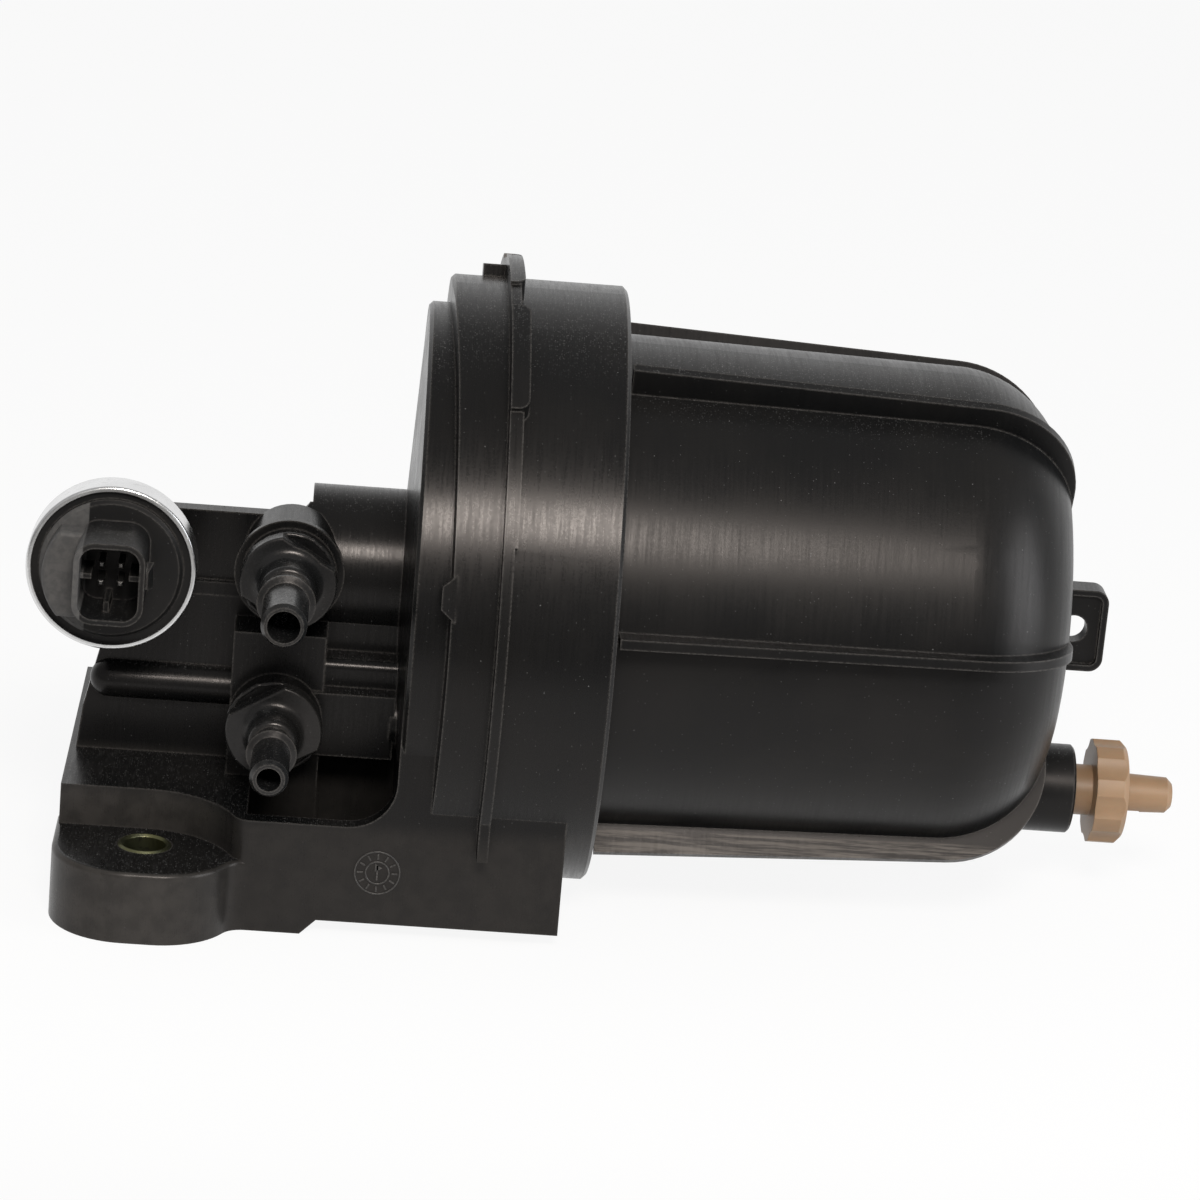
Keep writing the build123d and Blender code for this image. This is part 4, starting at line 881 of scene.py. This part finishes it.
def weld_bead(name, x, z, seed, y, radius, thick, lumps):
    """A lumpy ring in front of the wall, all in millimetres. Noise below SUNK_SHARE dents it."""
    recipe = Recipe(name, Radius=radius * MM, Thick=thick * MM, Lumps=lumps * MM, Seed=float(seed))
    ring = recipe.node(RING, None, {"Resolution": RING_STEPS, "Radius": recipe.size("Radius")})
    section = recipe.node(RING, None, {"Resolution": SECTION_STEPS, "Radius": recipe.size("Thick")})
    bead = recipe.node(SWEEP, None, {"Curve": ring, "Profile Curve": section})
    clouds = {"W": recipe.size("Seed"), "Scale": LUMPS_PER_MM / MM, "Detail": 3.0}
    cloud = recipe.node("ShaderNodeTexNoise", {"noise_dimensions": "4D"}, clouds, "Fac")
    normal = recipe.node("GeometryNodeInputNormal")
    outward = {0: normal, "Scale": (cloud - SUNK_SHARE) * recipe.size("Lumps") * 2}
    swell = recipe.node("ShaderNodeVectorMath", {"operation": "SCALE"}, outward)
    lumpy = recipe.node("GeometryNodeSetPosition", None, {"Geometry": bead, "Offset": swell})
    placed = recipe.moved(lumpy, (x * MM, y * MM, z * MM), UPRIGHT)
    piece = recipe.grow(name, placed, port_black, "head", "port_plastic")
    for face in piece.data.polygons:
        face.use_smooth = True


weld_bead("supply_weld", x=26.2, z=71.0, seed=3, **WELD)
weld_bead("return_weld", x=25.2, z=38.0, seed=7, **WELD)

# %% [markdown]
# ## Floor and light
#
# The photo's ground is pure white, so rays from the camera see white, and so do reflections of the backdrop
# behind the object. The room on the camera's side is dim, the white table ends a little in front of the
# object, and black plastic reflects that. Without the dim side the blacks turn grey.
# The floor keeps the object's own soft shadow, because a tenth of it is an ordinary lit surface.

# %% Two looks of one surface
def white_for_the_camera(wiring, surface, seen, where):
    """Joins two shaders: surface for light, seen for camera rays and, where told, mirror and glass rays."""
    path = "ShaderNodeLightPath"
    mirrored = wiring.node(path, output="Is Glossy Ray") + wiring.node(path, output="Is Transmission Ray")
    looked_at = wiring.node(path, output="Is Camera Ray")
    seen_by = looked_at.maths("MAXIMUM", looked_at, mirrored * where)
    return wiring.node("ShaderNodeMixShader", None, {"Fac": seen_by, 1: surface, 2: seen})


# %% Floor
FLOOR_SIZE = 6.0
# Mirrored rays see the table turn from dark to white between these places along Y, in metres
TABLE_EDGE = (-0.30, -0.12)
DARK_FLOOR, WHITE_TABLE = 0.15, 0.80
GLOW_SHARE = 0.9
floor_mesh = bpy.data.meshes.new("floor")
half = FLOOR_SIZE / 2
corners = [(-half, -half, 0), (half, -half, 0), (half, half, 0), (-half, half, 0)]
floor_mesh.from_pydata(corners, [], [(0, 1, 2, 3)])
floor = bpy.data.objects.new("floor", floor_mesh)
bpy.context.collection.objects.link(floor)
floor_material = bpy.data.materials.new("floor white")
floor_material.use_nodes = True
paint = Wiring(floor_material.node_tree)
spot = paint.node("ShaderNodeTexCoord", output="Object")
near = paint.node("ShaderNodeSeparateXYZ", None, {"Vector": spot}, "Y").above(*TABLE_EDGE)
principled = paint.tree.nodes["Principled BSDF"]
paint.connect(principled.inputs["Base Color"], DARK_FLOOR + (WHITE_TABLE - DARK_FLOOR) * near)
principled.inputs["Roughness"].default_value = 0.9
plain = Signal(paint, principled.outputs[0])
glow = paint.node("ShaderNodeEmission", None, {"Color": (1, 1, 1, 1), "Strength": 1.0})
soft_shadow = paint.node("ShaderNodeMixShader", None, {"Fac": GLOW_SHARE, 1: plain, 2: glow})
surface = white_for_the_camera(paint, plain, soft_shadow, near)
paint.connect(paint.tree.nodes["Material Output"].inputs["Surface"], surface)
floor_mesh.materials.append(floor_material)
print("The floor is", FLOOR_SIZE, "m wide")

# %% [markdown]
# ## The room
#
# The world is the studio's room. It lights the object evenly and dimly. Its white backdrop stands behind the
# object and low down, which the direction of a ray tells: far along Y, and not far up.

# %% World
DIM_ROOM = 0.45
BACKDROP_LEAN = 0.7
BACKDROP_FADE = (-0.1, 0.5)
world = bpy.data.worlds.new("studio")
bpy.context.scene.world = world
world.use_nodes = True
room = Wiring(world.node_tree)
room.tree.nodes.remove(room.tree.nodes["Background"])
dim = room.node("ShaderNodeBackground", None, {"Color": (1, 1, 1, 1), "Strength": DIM_ROOM})
white = room.node("ShaderNodeBackground", None, {"Color": (1, 1, 1, 1), "Strength": 1.0})
direction = room.node("ShaderNodeTexCoord", output="Generated")
back = room.node("ShaderNodeSeparateXYZ", None, {"Vector": direction}, "Y")
up = room.node("ShaderNodeSeparateXYZ", None, {"Vector": direction}, "Z")
backdrop = (back - BACKDROP_LEAN * up).above(*BACKDROP_FADE)
sky = white_for_the_camera(room, dim, white, backdrop)
room.connect(room.tree.nodes["World Output"].inputs["Surface"], sky)

# %% [markdown]
# ## Lamps
#
# The lamps stay plain: a softbox in front and above, which draws the broad sheen along bowl and collar,
# and a large, weak and slightly cool card on the right, for the bowl's shoulder and the drain screw.

# %% Lamps
def softbox(name, place, width, height, watts, warmth):
    """A rectangular lamp that looks at the camera's aim. Warmth moves its white towards orange."""
    data = bpy.data.lights.new(name, "AREA")
    data.shape = "RECTANGLE"
    data.size, data.size_y = width, height
    data.energy = watts
    data.color = (1.0, 1.0 - warmth, 1.0 - 2 * warmth)
    lamp = bpy.data.objects.new(name, data)
    bpy.context.collection.objects.link(lamp)
    look = AIM - Vector(place)
    lamp.matrix_world = Matrix.Translation(place) @ look.to_track_quat("-Z", "Y").to_matrix().to_4x4()
    print(name, "gives", watts, "W")


softbox("front softbox", place=(0.12, -0.82, 0.70), width=0.32, height=0.22, watts=8.5, warmth=0.055)
softbox("right card", place=(0.95, -0.35, 0.25), width=0.50, height=0.80, watts=6.5, warmth=-0.04)

# %% [markdown]
# ## Colour management
#
# A plain display transform keeps the colours as they were written. A filmic one would lift the blacks.

# %% Colour management
bpy.context.scene.view_settings.view_transform = "Standard"
